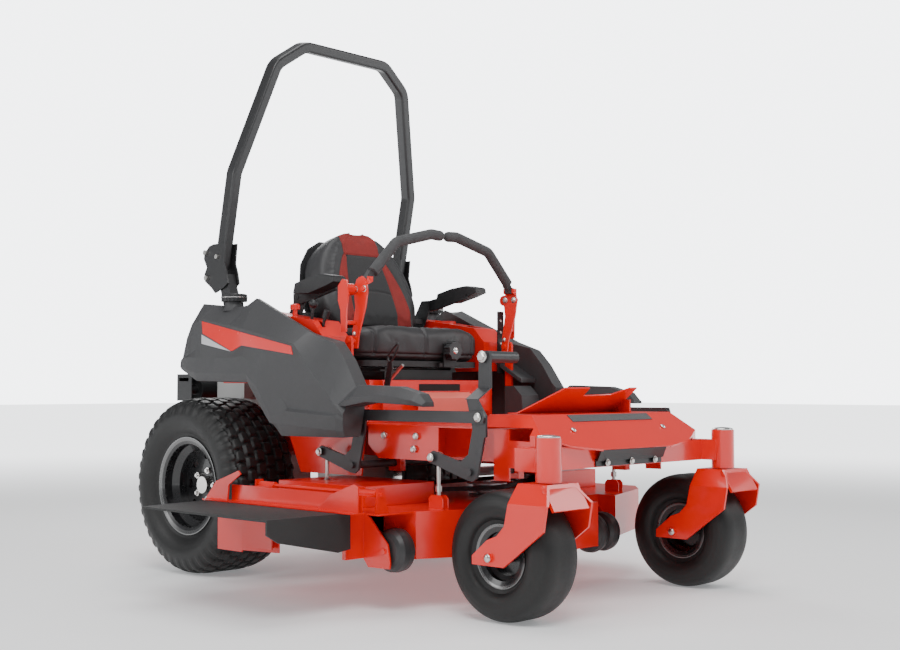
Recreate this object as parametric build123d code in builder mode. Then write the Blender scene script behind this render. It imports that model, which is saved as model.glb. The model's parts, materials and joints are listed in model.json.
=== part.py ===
from build123d import *
from math import cos, radians, sin
import os

# Zero-turn riding mower, in millimetres. While modelling, X runs forward from the drive axle, Y to the
# operator's left from the machine's centre line and Z up from the ground. Each finished piece is then
# moved so that the origin is on the ground under the middle of the machine.

# ---- driving dimensions ----
wheelbase = 1378.0          # drive axle to caster axle
drive_radius = 302.0        # 24 inch drive tyre
drive_width = 288.0
drive_track = 442.0         # centre line to the middle of a drive tyre
caster_radius = 180.0       # 15 inch caster tyre
caster_width = 164.0
caster_track = 440.0        # centre line to a caster pivot
caster_trail = 126.0        # caster pivot ahead of the caster axle
rail_low = 420.0            # underside of the frame rails
rail_high = 520.0
rail_inner = 235.0
rail_outer = 283.0
rail_rear = -430.0          # rear end of the rails
side_plane = 376.0          # middle of the frame's side plates
sheet = 6.0                 # thick frame plate
tube_wall = 4.0             # wall of the frame's box tubes
deck_half = 690.0           # half of the deck's width
deck_low = 150.0            # skirt's lower edge
deck_high = 286.0           # top of the deck's top plate
deck_sheet = 5.0
deck_front = 1285.0         # front of the centre lobe
deck_rear = 385.0
outer_blade = (690.0, 432.0)
centre_blade = (885.0, 0.0)
blade_radius = 224.0
fender_outer = 572.0        # outer face of a fender
fender_ridge = 500.0
fender_inner = 452.0
hoop_track = 427.5          # centre line to the middle of a roll-bar post
hoop_height = 1888.0        # top of the roll-over bar
hinge_height = 1100.0       # roll-bar hinge
hinge_x = 19.0
hoop_lean = 11.3            # degrees forward
seat_half = 296.0
seat_floor = 711.0          # underside of the seat pan
console_inner = 330.0
console_outer = 444.0
bumper_rear = -470.0
chute_reach = 990.0         # centre line to the chute's outer edge
fit = 0.05                  # radial clearance of a running fit
gap = 1.0                   # clearance between parts that pass each other

# ---- worked-out places ----
caster_pivot = wheelbase + caster_trail
machine_front = caster_pivot + 80.0       # the forks' front skirts
middle = Location((-(machine_front + bumper_rear) / 2, (chute_reach - deck_half) / 2, 0))
sides = {"right": -1, "left": 1}

os.makedirs("parts", exist_ok=True)


def finish(part, name):
    """Label a finished piece, move it to the shared origin and write it."""
    part = part.moved(middle)
    part.label = name
    export_step(part, f"parts/{name}.step")


def side_plate(points, y, thick, mode=Mode.ADD):
    """Plate with a side-view outline of (x, z) points, its middle at y."""
    with BuildSketch(Plane.XZ.offset(-y)) as outline:
        Polygon(*points, align=None)
    extrude(outline.sketch, amount=thick / 2, both=True, mode=mode)


def front_plate(points, x_from, x_to, mode=Mode.ADD):
    """Plate with a front-view outline of (y, z) points."""
    with BuildSketch(Plane.YZ.offset(x_from)) as outline:
        Polygon(*points, align=None)
    extrude(outline.sketch, amount=x_to - x_from, mode=mode)


def flat_plate(points, z_low, z_high, mode=Mode.ADD):
    """Plate with a plan outline of (x, y) points."""
    with BuildSketch(Plane.XY.offset(z_low)) as outline:
        Polygon(*points, align=None)
    extrude(outline.sketch, amount=z_high - z_low, mode=mode)


def block(x, y, z, mode=Mode.ADD):
    """Box between two limits along each axis."""
    with Locations(((x[0] + x[1]) / 2, (y[0] + y[1]) / 2, (z[0] + z[1]) / 2)):
        Box(abs(x[1] - x[0]), abs(y[1] - y[0]), abs(z[1] - z[0]), mode=mode)


def rod_y(x, z, y_from, y_to, radius, mode=Mode.ADD):
    """Round bar across the machine."""
    with BuildSketch(Plane.XZ.offset(-y_from)) as section:
        with Locations((x, z)):
            Circle(radius)
    extrude(section.sketch, amount=y_from - y_to, mode=mode)


def rod_x(y, z, x_from, x_to, radius, mode=Mode.ADD):
    """Round bar along the machine."""
    with BuildSketch(Plane.YZ.offset(x_from)) as section:
        with Locations((y, z)):
            Circle(radius)
    extrude(section.sketch, amount=x_to - x_from, mode=mode)


def rod_z(x, y, z_from, z_to, radius, mode=Mode.ADD):
    """Upright round bar."""
    with BuildSketch(Plane.XY.offset(z_from)) as section:
        with Locations((x, y)):
            Circle(radius)
    extrude(section.sketch, amount=z_to - z_from, mode=mode)


def turned(profile, x, y, z):
    """Solid of revolution about a Y axis through (x, z); profile points are (offset from y, radius)."""
    with BuildSketch(Plane(origin=(x, y, z), x_dir=(0, 1, 0), z_dir=(1, 0, 0))) as section:
        Polygon(*profile, align=None)
    revolve(section.sketch, axis=Axis((x, y, z), (0, 1, 0)))


def carcass(radius, width, bead, flange, seat_half, shoulder, wall):
    """Tyre section between the rim's flanges, open towards the rim, as (offset, radius) points."""
    half = width / 2
    outer = [(-seat_half, bead), (-seat_half, flange + 3), (-half * 0.94, flange + (radius - flange) * 0.22),
             (-half, flange + (radius - flange) * 0.48), (-half * 0.95, radius - shoulder),
             (-half * 0.78, radius - shoulder * 0.28), (-half * 0.45, radius - shoulder * 0.04)]
    outer += [(0, radius)] + [(-y, r) for y, r in reversed(outer)]
    inner = [(y * (1 - wall / half), max(bead, r - wall)) for y, r in outer]
    return outer + inner[::-1]


# ==== drive wheels ====
rim_flange = 168.0
rim_half = 118.0            # half of the rim's width
rim_wall = 4.0
rim_well = 128.0            # radius of the drop centre
rim_seat = 148.0            # radius under the tyre beads
disc_offset = 30.0          # wheel disc outboard of the tyre's middle
hub_radius = 74.0
axle_radius = 18.0
stud_circle = 52.0
stud_count = 5


def drive_tyre(side):
    with BuildPart() as drive_tyre:
        turned(carcass(drive_radius, drive_width, rim_seat + gap / 2, rim_flange, rim_half - 9, 42, 14),
               0, side * drive_track, drive_radius)
    finish(drive_tyre.part, f"drive_tyre_{'left' if side > 0 else 'right'}")


def drive_rim(side):
    wall_out = [(-rim_half, rim_flange), (-rim_half + 8, rim_seat), (-rim_half + 38, rim_seat), (-rim_half + 56, rim_well),
                (rim_half - 82, rim_well), (rim_half - 62, rim_seat), (rim_half - 8, rim_seat), (rim_half, rim_flange)]
    wall_in = [(y, r - rim_wall) for y, r in wall_out]
    disc = side * disc_offset
    with BuildPart() as drive_rim:
        turned(wall_out + wall_in[::-1], 0, side * drive_track, drive_radius)
        turned([(disc - 3, axle_radius + 12), (disc + 3, axle_radius + 12), (disc + 3, rim_well - rim_wall + 1),
                (disc - 3, rim_well - rim_wall + 1)], 0, side * drive_track, drive_radius)
        with BuildSketch(Plane.XZ.offset(-side * drive_track)):
            with Locations((0, drive_radius)):
                with PolarLocations(98, 8):
                    SlotOverall(34, 20, rotation=90)
                with PolarLocations(stud_circle, stud_count):
                    Circle(8)
        extrude(amount=-side * rim_half, mode=Mode.SUBTRACT)
    finish(drive_rim.part, f"drive_rim_{'left' if side > 0 else 'right'}")


def drive_hub(side):
    plane = side * (drive_track + disc_offset)
    with BuildPart() as drive_hub:
        rod_y(0, drive_radius, plane - side * 4, plane - side * 18, hub_radius)
        rod_y(0, drive_radius, plane - side * 18, side * (rail_outer + 10), axle_radius)
        rod_y(0, drive_radius, plane - side * 4, plane + side * 26, axle_radius + 11)
        with Locations(Location((0, plane - side * 4, drive_radius), (-90 * side, 0, 0))):
            with PolarLocations(stud_circle, stud_count):
                Cylinder(6, 26, align=(Align.CENTER, Align.CENTER, Align.MIN))
        for index in range(stud_count):
            turn = radians(360 / stud_count * index)
            nut = (stud_circle * cos(turn), plane + side * 3.2, drive_radius - side * stud_circle * sin(turn))
            with Locations(Location(nut, (-90 * side, 0, 0))):
                Cylinder(11, 12, align=(Align.CENTER, Align.CENTER, Align.MIN))
    finish(drive_hub.part, f"drive_hub_{'left' if side > 0 else 'right'}")


for side in sides.values():
    drive_tyre(side)
    drive_rim(side)
    drive_hub(side)

# ==== casters ====
fork_top = 382.0
fork_half = 100.0           # centre of the fork to a leg's outer face
fork_sheet = 8.0
stem_radius = 12.5
head_radius = 36.0
head_low = 384.0
head_high = 505.0
caster_pin = 8.0
caster_flange = 89.0        # rim flange radius
caster_seat = 70.0          # rim radius under the beads
caster_rim_half = 56.0


def caster_fork(side):
    y = side * caster_track
    x = caster_pivot
    leg = [(x - 60, fork_top), (x + 42, fork_top), (x + 74, 330), (x + 62, 262), (wheelbase + 50, 158),
           (wheelbase - 64, 158), (wheelbase - 64, 182), (wheelbase - 8, 228), (wheelbase + 26, 241),
           (x - 74, 268), (x - 60, 330)]
    roof = [(58, fork_top), (fork_half, 330), (fork_half, 150), (fork_half - fork_sheet, 150),
            (fork_half - fork_sheet, 326), (54, fork_top - 10)]
    with BuildPart() as caster_fork:
        section = roof + [(-across, z) for across, z in reversed(roof)]
        front_plate([(y + across, z) for across, z in section], wheelbase - 80, caster_pivot + 120)
        side_plate(leg, y, 2 * fork_half + 2, mode=Mode.INTERSECT)
        side_plate([(x + 42, fork_top), (x + 80, 316), (x + 72, 312), (x + 34, fork_top - 8)], y, 150)
        rod_z(x, y, fork_top, head_high - 12, stem_radius)
        for edge in (-1, 1):
            with BuildSketch(Plane.XZ.offset(-(y + edge * fork_half))):
                with Locations((wheelbase, caster_radius)):
                    RegularPolygon(13, 6)
            extrude(amount=-edge * 8)
        rod_y(wheelbase, caster_radius, y - fork_half, y + fork_half, caster_pin)
    finish(caster_fork.part, f"caster_fork_{'left' if side > 0 else 'right'}")


def caster_tyre(side):
    with BuildPart() as caster_tyre:
        turned(carcass(caster_radius, caster_width, caster_seat + gap / 2, caster_flange, caster_rim_half - 7, 34, 11),
               wheelbase, side * caster_track, caster_radius)
    finish(caster_tyre.part, f"caster_tyre_{'left' if side > 0 else 'right'}")


def caster_rim(side):
    half = caster_rim_half
    bead = caster_seat
    rim = [(-half, caster_flange), (-half + 6, bead), (-half + 22, bead), (-half + 30, bead - 12),
           (half - 30, bead - 12), (half - 22, bead), (half - 6, bead), (half, caster_flange)]
    bore = caster_pin + fit
    with BuildPart() as caster_rim:
        turned(rim + [(y, r - 3) for y, r in reversed(rim)], wheelbase, side * caster_track, caster_radius)
        turned([(-4, bore), (4, bore), (4, bead - 14.5), (-4, bead - 14.5)], wheelbase, side * caster_track,
               caster_radius)
        turned([(-fork_half + fork_sheet + gap, bore), (fork_half - fork_sheet - gap, bore),
                (fork_half - fork_sheet - gap, 21), (-fork_half + fork_sheet + gap, 21)],
               wheelbase, side * caster_track, caster_radius)
    finish(caster_rim.part, f"caster_rim_{'left' if side > 0 else 'right'}")


for side in sides.values():
    caster_fork(side)
    caster_tyre(side)
    caster_rim(side)

# ==== lift geometry, shared by the frame, the deck and the linkage ====
rear_shaft = (735.0, 400.0)
front_shaft = (1232.0, 400.0)
shaft_radius = 12.0
link_pin = (36.0, 156.0)    # bar pivot, from the shaft
hanger_pin = (-151.0, 36.0)  # hanger pivot, from the shaft
crank_plane = 452.0         # middle of a crank arm
rod_plane = 430.0           # middle of a hanger rod

# ==== steering lever pivots, shared by the frame and the levers ====
lever_pivot = (643.0, 788.0)
lever_plane = 388.0
lever_pin = 7.0
fender_rest = crank_plane + 24      # inside face of a fender's lower leg, clear of the lift cranks

# ==== frame ====
beam_rear = caster_pivot - 114
beam_front = beam_rear + 62
beam_low = 410.0
beam_high = 474.0
floor_rear = 640.0
nose_rear = caster_pivot - 300
transaxle_top = rail_low
rear_plate = 8.0
rear_half = 300.0
hitch_radius = 9.5
hitch_x = (bumper_rear + rail_rear) / 2

with BuildPart() as main_frame:
    for side in sides.values():
        block((rail_rear, beam_rear), (side * rail_inner, side * rail_outer), (rail_low, rail_high))
        block((rail_rear + tube_wall, beam_rear - tube_wall),
              (side * (rail_inner + tube_wall), side * (rail_outer - tube_wall)),
              (rail_low + tube_wall, rail_high - tube_wall), mode=Mode.SUBTRACT)
        side_plate([(335, rail_high + 5), (335, 470), (392, 360), (690, 360), (700, 470), (700, rail_high + 5)],
                   side * side_plane, sheet)
        side_plate([(722, rail_high + 5), (722, 462), (768, rail_low), (1030, rail_low), (1030, rail_high + 5)],
                   side * side_plane, sheet)
        side_plate([(1252, rail_high), (1252, 374), (1310, 374), (1310, 412), (beam_rear, 412),
                    (beam_rear, 488), (1310, 490), (1310, rail_high)], side * side_plane, sheet)
        for rib in (350, 600, 800, 960, 1270):
            block((rib, rib + sheet), (side * rail_outer, side * (side_plane - sheet / 2)), (rail_low + 12, rail_high))
        for shaft_x, shaft_z in (rear_shaft, front_shaft):
            block((shaft_x - 26, shaft_x + 26), (side * (rail_outer - 30), side * (rail_outer - 6)),
                  (shaft_z - 26, rail_low))
            rod_y(shaft_x, shaft_z, side * rail_inner, side * (rail_outer + 10), shaft_radius + fit,
                  mode=Mode.SUBTRACT)
        side_plate([(60, rail_high), (200, rail_high), (200, 560), (150, 655), (60, 655)],
                   side * (rail_outer - 20), 40)
        block((60, 190), (side * (rail_outer - 20), side * (hoop_track + 26)), (655, 663))
        block((520, 550), (side * side_plane, side * fender_rest), (500, 506))
        side_plate([(628, rail_high), (658, rail_high), (658, 795), (650, 806), (636, 806), (628, 795)],
                   side * (lever_plane + 2), 10)
        block((628, 658), (side * side_plane, side * (lever_plane + 7)), (rail_high - 20, rail_high + 5))
        rod_y(lever_pivot[0], lever_pivot[1], side * (lever_plane - 10), side * (lever_plane + 10), lever_pin + fit,
              mode=Mode.SUBTRACT)
    block((floor_rear, nose_rear), (-side_plane - sheet / 2, side_plane + sheet / 2), (rail_high, rail_high + 5))
    block((rail_rear, 330), (-rail_outer, rail_outer), (rail_high, rail_high + sheet))
    block((330, floor_rear), (-side_plane - sheet / 2, side_plane + sheet / 2), (rail_high, rail_high + 5))
    block((rail_rear - rear_plate, rail_rear), (-rear_half, rear_half), (372, 560))
    block((bumper_rear, rail_rear - rear_plate), (-rear_half, rear_half), (500, 540))
    block((bumper_rear, rail_rear - rear_plate), (-60, 60), (400, 412))
    rod_z(hitch_x, 0, 390, 420, hitch_radius, mode=Mode.SUBTRACT)
finish(main_frame.part, "main_frame")

with BuildPart() as front_beam:
    block((beam_rear, beam_front), (-caster_track + 30, caster_track - 30), (beam_low, beam_high))
    block((beam_rear + tube_wall, beam_front - tube_wall), (-caster_track + 44, caster_track - 44),
          (beam_low + tube_wall, beam_high - tube_wall), mode=Mode.SUBTRACT)
    for side in sides.values():
        block((beam_rear, caster_pivot), (side * (caster_track - 42), side * (caster_track + 8)),
              (beam_low, beam_high))
        rod_z(caster_pivot, side * caster_track, head_low, head_high, head_radius)
        rod_z(caster_pivot, side * caster_track, head_low, head_high, stem_radius + fit, mode=Mode.SUBTRACT)
finish(front_beam.part, "front_beam")

# ==== nose cover, its trim panel and the toe board ====
nose_top = 562.0
nose_edge = caster_pivot - 139      # where the top turns down into the front slope
nose_tip = caster_pivot - 16
nose_low = 463.0
nose_half = 345.0
nose_wide = 387.0
nose_sheet = 4.0


def nose_outline(inset):
    """Side view of the cover, inset from its outer surface."""
    drop = inset * 1.28
    return [(nose_rear, nose_top - inset), (nose_edge - inset * 0.35, nose_top - inset),
            (nose_tip, nose_low - drop), (nose_tip, 440), (nose_rear, 440)]


with BuildPart() as hood:
    side_plate(nose_outline(0), 0, 2 * nose_wide)
    front_plate([(-nose_half, nose_top), (nose_half, nose_top), (nose_wide, 505), (nose_wide, 430),
                 (-nose_wide, 430), (-nose_wide, 505)], nose_rear, nose_tip, mode=Mode.INTERSECT)
    flat_plate([(nose_rear, -nose_wide), (caster_pivot - 68, -nose_wide), (caster_pivot - 34, -300),
                (nose_tip, -172), (nose_tip, 172), (caster_pivot - 34, 300), (caster_pivot - 68, nose_wide),
                (nose_rear, nose_wide)], 400, 600, mode=Mode.INTERSECT)
    side_plate(nose_outline(nose_sheet), 0, 2 * (nose_half - 2), mode=Mode.SUBTRACT)
    side_plate([(nose_rear - 1, 500), (nose_edge + 30, 500), (caster_pivot - 90, 470), (caster_pivot - 90, 430),
                (nose_rear - 1, 430)], 0, 2 * (nose_wide - nose_sheet), mode=Mode.SUBTRACT)
    block((nose_rear - 1, beam_front + gap), (-nose_wide - 1, nose_wide + 1), (400, beam_high + gap), mode=Mode.SUBTRACT)
    block((nose_rear - 1, beam_rear + 4), (-nose_wide - 1, nose_wide + 1), (400, rail_high + 6), mode=Mode.SUBTRACT)
    block((nose_tip - 70, nose_tip + 1), (-172, 172), (430, nose_low - 1), mode=Mode.SUBTRACT)
    for side in sides.values():
        with Locations((caster_pivot - 84, side * 225, 500)):
            Cylinder(5, 80, mode=Mode.SUBTRACT)
finish(hood.part, "hood")

with BuildPart() as hood_trim:
    side_plate([(beam_front, 428), (nose_tip - 26, 428), (nose_tip - 12, nose_low - 3), (nose_tip - 17, nose_low - 3),
                (nose_tip - 30, 433), (beam_front, 433)], 0, 330)
    block((beam_front, beam_front + 4), (-165, 165), (412, 433))
    for y in (-120, 0, 120):
        rod_x(y, 422, beam_front + 4, beam_front + 12, 9)
finish(hood_trim.part, "hood_trim")

toe_foot = caster_pivot - 284
toe_top = toe_foot + 115
with BuildPart() as foot_rest:
    lean = Plane(origin=(toe_foot, 0, nose_top), x_dir=(0, 1, 0), z_dir=(76, 0, -115))
    with BuildSketch(lean):
        Polygon((-240, 0), (240, 0), (236, 20), (212, 137), (175, 137), (118, 100), (-20, 94), (-32, 137),
                (-150, 137), align=None)
    extrude(amount=-4)
    block((toe_foot - 36, toe_foot + 2), (-240, 240), (nose_top, nose_top + 3))
    flat_plate([(toe_foot + 2, 236), (toe_foot + 90, 212), (toe_foot + 86, 208), (toe_foot + 2, 232)],
               nose_top, nose_top + 40)
finish(foot_rest.part, "foot_rest")

# ==== fenders, which are also the fuel tanks ====
fender_wall = 5.0
post_slot = 26.0            # half-width across the machine of the slot for a roll-bar post
cap_place = (159.0, 462.0)
cap_radius = 44.0
neck_top = 932.0
shelf_top = 650.0

# side-view outlines with matching corners: inner face, ridge and outer face
fender_inside = [(-46, 704), (-44, 846), (-24, 930), (196, 911), (258, 942), (556, 812), (690, 784), (792, 656),
                 (724, 560), (724, 490), (513, 485), (420, 570), (341, 657), (57, 661)]
fender_top = [(-46, 702), (-30, 852), (5, 932), (240, 910), (304, 940), (599, 809), (700, 778), (806, 648),
              (790, 560), (790, 488), (513, 485), (420, 570), (341, 656), (57, 661)]
fender_side = [(-40, 700), (3, 850), (79, 870), (263, 834), (330, 820), (573, 774), (656, 696), (770, 590),
               (800, 560), (800, 490), (513, 485), (420, 570), (341, 656), (57, 661)]
shelf = [(770, 596), (842, shelf_top), (1016, 644), (1112, 621), (1186, 584), (1068, 602), (902, 596), (811, 582)]
stripe_pocket = [(79, 866), (86, 786), (258, 757), (300, 776), (575, 738), (570, 764)]
panel_pocket = [(437, 690), (560, 572), (782, 556), (790, 540), (470, 528), (380, 640)]


def fender(side):
    with BuildPart() as fender:
        for outline, y in ((fender_inside, fender_inner), (fender_top, fender_ridge), (fender_side, fender_outer)):
            with BuildSketch(Plane.XZ.offset(-side * y)):
                Polygon(*outline, align=None)
        loft(ruled=True)
        side_plate(shelf, side * 520, 2 * (fender_outer - 530))
        side_plate(stripe_pocket, side * fender_outer, 5, mode=Mode.SUBTRACT)
        side_plate(panel_pocket, side * fender_outer, 7, mode=Mode.SUBTRACT)
        cavity = [(-20, 720), (-10, 850), (30, 890), (520, 790), (660, 740), (740, 640), (700, 520), (530, 505),
                  (440, 590), (352, 672), (57, 676)]
        side_plate(cavity, side * (fender_ridge + 8), 2 * (fender_outer - fender_ridge - 20), mode=Mode.SUBTRACT)
        block((400, 760), (side * (fender_inner - 1), side * fender_rest), (480, 612), mode=Mode.SUBTRACT)
        side_plate([(-60, 640), (-60, 1000), (128, 1000), (225, 640)], side * (hoop_track + 6),
                   2 * (post_slot + 3), mode=Mode.SUBTRACT)
        rod_z(cap_place[0], side * (cap_place[1] + 22), 880, neck_top, 30)
        rod_z(cap_place[0], side * (cap_place[1] + 22), 870, neck_top + 1, 25, mode=Mode.SUBTRACT)
    finish(fender.part, f"fender_{'left' if side > 0 else 'right'}")


def fuel_cap(side):
    y = side * (cap_place[1] + 22)
    with BuildPart() as fuel_cap:
        rod_z(cap_place[0], y, neck_top + gap, neck_top + 27, cap_radius)
        with BuildSketch(Plane.XY.offset(neck_top + gap)):
            with Locations((cap_place[0], y)):
                with PolarLocations(cap_radius + 1, 20):
                    Circle(3)
        extrude(amount=20, mode=Mode.SUBTRACT)
        fillet(fuel_cap.edges().group_by(Axis.Z)[-1], 5)
        rod_z(cap_place[0], y, neck_top - 14, neck_top + gap, 24)
    finish(fuel_cap.part, f"fuel_cap_{'left' if side > 0 else 'right'}")


for side in sides.values():
    fender(side)
    fuel_cap(side)

# ==== consoles ====
console_rear = 228.0
console_front = 574.0
console_sheet = 4.0
console_slope = [(console_rear, 700), (console_rear, 902), (console_front - 50, 858), (console_front, 806),
                 (console_front, 700)]
brake_place = (453.0, 395.0)
knob_place = (382.0, 400.0)
throttle_place = (520.0, 412.0)
brake_height = 812.0
throttle_height = 800.0
control_pin = 5.0


def console_height(x):
    """Height of a console's sloping top at x."""
    return 902 - (x - console_rear) * 44 / (console_front - 50 - console_rear)


def console_body(side):
    """Sheet-metal box, open underneath, in the open part."""
    middle_y = side * (console_inner + console_outer) / 2
    width = console_outer - console_inner
    side_plate(console_slope, middle_y, width)
    inner = [(console_rear + console_sheet, 699), (console_rear + console_sheet, 902 - console_sheet * 1.1),
             (console_front - 52, 858 - console_sheet), (console_front - console_sheet, 803), (console_front - console_sheet, 699)]
    side_plate(inner, middle_y, width - 2 * console_sheet, mode=Mode.SUBTRACT)
    block((340, 362), (side * console_inner, side * (side_plane + sheet / 2)), (rail_high + 5, 720))


slot_width = 14.0
with BuildPart() as console_right:
    console_body(-1)
    for x, y, length in ((brake_place[0], brake_place[1], 70), (throttle_place[0], throttle_place[1], 50)):
        block((x - length / 2, x + length / 2), (-y - slot_width / 2, -y + slot_width / 2), (780, 910),
              mode=Mode.SUBTRACT)
    for x, y, z in ((*brake_place, brake_height), (*throttle_place, throttle_height)):
        rod_y(x, z, -console_outer + 2, -y + 14, control_pin)
    rod_z(knob_place[0], -knob_place[1], 860, 900, 9, mode=Mode.SUBTRACT)
finish(console_right.part, "console_right")

cup_place = (318.0, 387.0)
cup_radius = 42.0
with BuildPart() as console_left:
    console_body(1)
    rod_z(cup_place[0], cup_place[1], 800, 920, cup_radius + 3, mode=Mode.ADD)
    block((cup_place[0] - 60, cup_place[0] + 60), (console_inner, console_outer), (892, 930), mode=Mode.SUBTRACT)
    rod_z(cup_place[0], cup_place[1], 803, 930, cup_radius, mode=Mode.SUBTRACT)
    block((410, 500), (console_inner + 22, console_outer - 22), (850, 900), mode=Mode.SUBTRACT)
finish(console_left.part, "console_left")

with BuildPart() as park_brake_lever:
    x, y = brake_place
    with Locations(Location((x, -y, brake_height), (0, 10, 0))):
        Cylinder(5, 106, align=(Align.CENTER, Align.CENTER, Align.MIN))
    with Locations((x + 106 * sin(radians(10)), -y, brake_height + 106 * cos(radians(10)))):
        Sphere(15)
    rod_y(x, brake_height, -y - 12, -y + 12, 10)
    rod_y(x, brake_height, -y - 13, -y + 13, control_pin + fit, mode=Mode.SUBTRACT)
finish(park_brake_lever.part, "park_brake_lever")

with BuildPart() as throttle_lever:
    x, y = throttle_place
    with Locations(Location((x, -y, throttle_height), (0, 24, 0))):
        Box(10, 5, 78, align=(Align.CENTER, Align.CENTER, Align.MIN))
    with Locations(Location((x + 72 * sin(radians(24)), -y, throttle_height + 72 * cos(radians(24))), (0, 24, 0))):
        Cylinder(11, 26, align=(Align.CENTER, Align.CENTER, Align.MIN))
    rod_y(x, throttle_height, -y - 10, -y + 10, 9)
    rod_y(x, throttle_height, -y - 11, -y + 11, control_pin + fit, mode=Mode.SUBTRACT)
finish(throttle_lever.part, "throttle_lever")

with BuildPart() as pto_knob:
    x, y = knob_place
    rod_z(x, -y, 850, console_height(x) + 22, 8)
    rod_z(x, -y, console_height(x) + 22, console_height(x) + 40, 17)
    fillet(pto_knob.edges().group_by(Axis.Z)[-1], 5)
finish(pto_knob.part, "pto_knob")

# ==== seat ====
plinth_top = 665.0
plinth_front = 640.0
plinth_rear = 338.0
seat_rear = 222.0
seat_front = 606.0
cushion_top = 842.0
cushion_step = 816.0        # the cushion's rear part, which passes under the back
back_lean = 20.0            # degrees
back_thick = 112.0
back_foot = (377.0, 858.0)   # (x, z) of the back's front lower edge
armrest_pin = (298.0, 950.0)
armrest_inner = 312.0

with BuildPart() as seat_base:
    block((plinth_rear, plinth_front), (-300, 300), (rail_high + 5.5, plinth_top))
    block((plinth_rear + 5, plinth_front - 5), (-295, 295), (rail_high, plinth_top + 1), mode=Mode.SUBTRACT)
    for y in (-150, 20, 190):
        block((plinth_front - 6, plinth_front + 1), (y - 62, y + 62), (628, 655), mode=Mode.SUBTRACT)
    front_plate([(-205, 628), (205, 628), (235, 612), (-235, 612)], plinth_front, plinth_front + 26)
    for x in (345, 600):
        block((x, x + 30), (-295, 295), (rail_high + 5.5, rail_high + 25))
    for y in (-160, 160):
        block((plinth_rear - 1, plinth_rear + 6), (y - 14, y + 14), (plinth_top - 8, plinth_top + 1), mode=Mode.SUBTRACT)
finish(seat_base.part, "seat_base")

with BuildPart() as seat_suspension:
    block((350, 570), (-185, 185), (plinth_top + 30, plinth_top + 36))
    block((350, 570), (-165, 165), (600, plinth_top + 30))
    block((370, 550), (-145, 145), (599, plinth_top + 20), mode=Mode.SUBTRACT)
    for y in (-170, 150):
        block((262, 578), (y, y + 20), (plinth_top + 36, seat_floor - 1.5))
finish(seat_suspension.part, "seat_suspension")

back_plane = Plane(origin=(back_foot[0], 0, back_foot[1]), x_dir=(0, 1, 0), z_dir=(cos(radians(back_lean)), 0, sin(radians(back_lean))))
back_outline = [(178, 0), (214, 40), (234, 105), (232, 190), (202, 280), (150, 345), (92, 376)]

with BuildPart() as seat_pan:
    block((seat_rear - 6, seat_front - 10), (-282, 282), (seat_floor, seat_floor + 20))
    fillet(seat_pan.edges().filter_by(Axis.Z), 40)
    block((seat_front - 10, seat_front + 4), (60, 160), (seat_floor, seat_floor + 14))
    block((seat_front + 2, seat_front + 8), (78, 142), (seat_floor, seat_floor + 82))
    with BuildSketch(back_plane.offset(-back_thick - 1)):
        Polygon(*(back_outline + [(-y, z) for y, z in reversed(back_outline)]), align=None)
    extrude(amount=-8)
    for side in sides.values():
        side_plate([(seat_rear - 6, seat_floor), (seat_rear + 60, seat_floor), (260, 800), (318, 926),
                    (318, 968), (280, 968), (205, 850)], side * (armrest_inner - 8), 5)
        block((seat_rear + 5, seat_rear + 60), (side * 270, side * (armrest_inner - 6)), (seat_floor, seat_floor + 5))
        rod_y(armrest_pin[0], armrest_pin[1], side * (armrest_inner - 6), side * (armrest_inner + 12), 8)
        side_plate([(215, 880), (290, 880), (290, 900), (215, 900)], side * 250, 124)
finish(seat_pan.part, "seat_pan")

with BuildPart() as seat_cushion:
    block((seat_rear + 4, seat_front), (-seat_half, seat_half), (seat_floor + 21, cushion_top))
    fillet(seat_cushion.edges().filter_by(Axis.Z), 60)
    fillet(seat_cushion.edges().group_by(Axis.Z)[-1], 28)
    side_plate([(seat_rear - 10, cushion_step), (380, cushion_step), (392, cushion_top + 1), (seat_rear - 10, cushion_top + 1)],
               0, 700, mode=Mode.SUBTRACT)
    for side in sides.values():
        block((seat_rear, 340), (side * (armrest_inner - 40), side * 330), (seat_floor, 860), mode=Mode.SUBTRACT)
finish(seat_cushion.part, "seat_cushion")

with BuildPart() as seat_back:
    with BuildSketch(back_plane):
        Polygon(*(back_outline + [(-y, z) for y, z in reversed(back_outline)]), align=None)
    extrude(amount=-back_thick)
    fillet(seat_back.edges().filter_by(GeomType.LINE).filter_by(
        lambda edge: abs(edge.tangent_at(0.5).dot(back_plane.z_dir)) > 0.99), 24)
    for side in sides.values():
        side_plate([(180, 870), (330, 870), (330, 910), (180, 910)], side * 252, 136, mode=Mode.SUBTRACT)
finish(seat_back.part, "seat_back")

with BuildPart() as seat_knob:
    with BuildSketch(Plane.YZ.offset(seat_front + 9)):
        with Locations((110, 768)):
            Circle(31)
            with PolarLocations(31, 9):
                Circle(4)
    extrude(amount=26)
    fillet(seat_knob.edges().group_by(Axis.X)[-1], 2)
finish(seat_knob.part, "seat_knob")


def armrest(side):
    x, z = armrest_pin
    pad = [(x + 40, z + 8), (x + 50, z + 42), (x + 120, z + 58), (x + 196, z + 66), (x + 244, z + 58),
           (x + 248, z + 38), (x + 204, z + 25), (x + 120, z + 6)]
    arm = [(x - 20, z - 20), (x - 22, z + 12), (x + 44, z + 24), (x + 200, z + 34), (x + 200, z + 16),
           (x + 60, z - 16), (x + 20, z - 22)]
    with BuildPart() as armrest:
        side_plate(arm, side * (armrest_inner + 5), 10)
        side_plate(pad, side * (armrest_inner + 34), 56)
        fillet(armrest.faces().sort_by(Axis.Z)[-1].edges(), 8)
        rod_y(x, z, side * (armrest_inner - 1), side * (armrest_inner + 14), 8 + fit, mode=Mode.SUBTRACT)
    finish(armrest.part, f"armrest_{'left' if side > 0 else 'right'}")


for side in sides.values():
    armrest(side)

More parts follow.
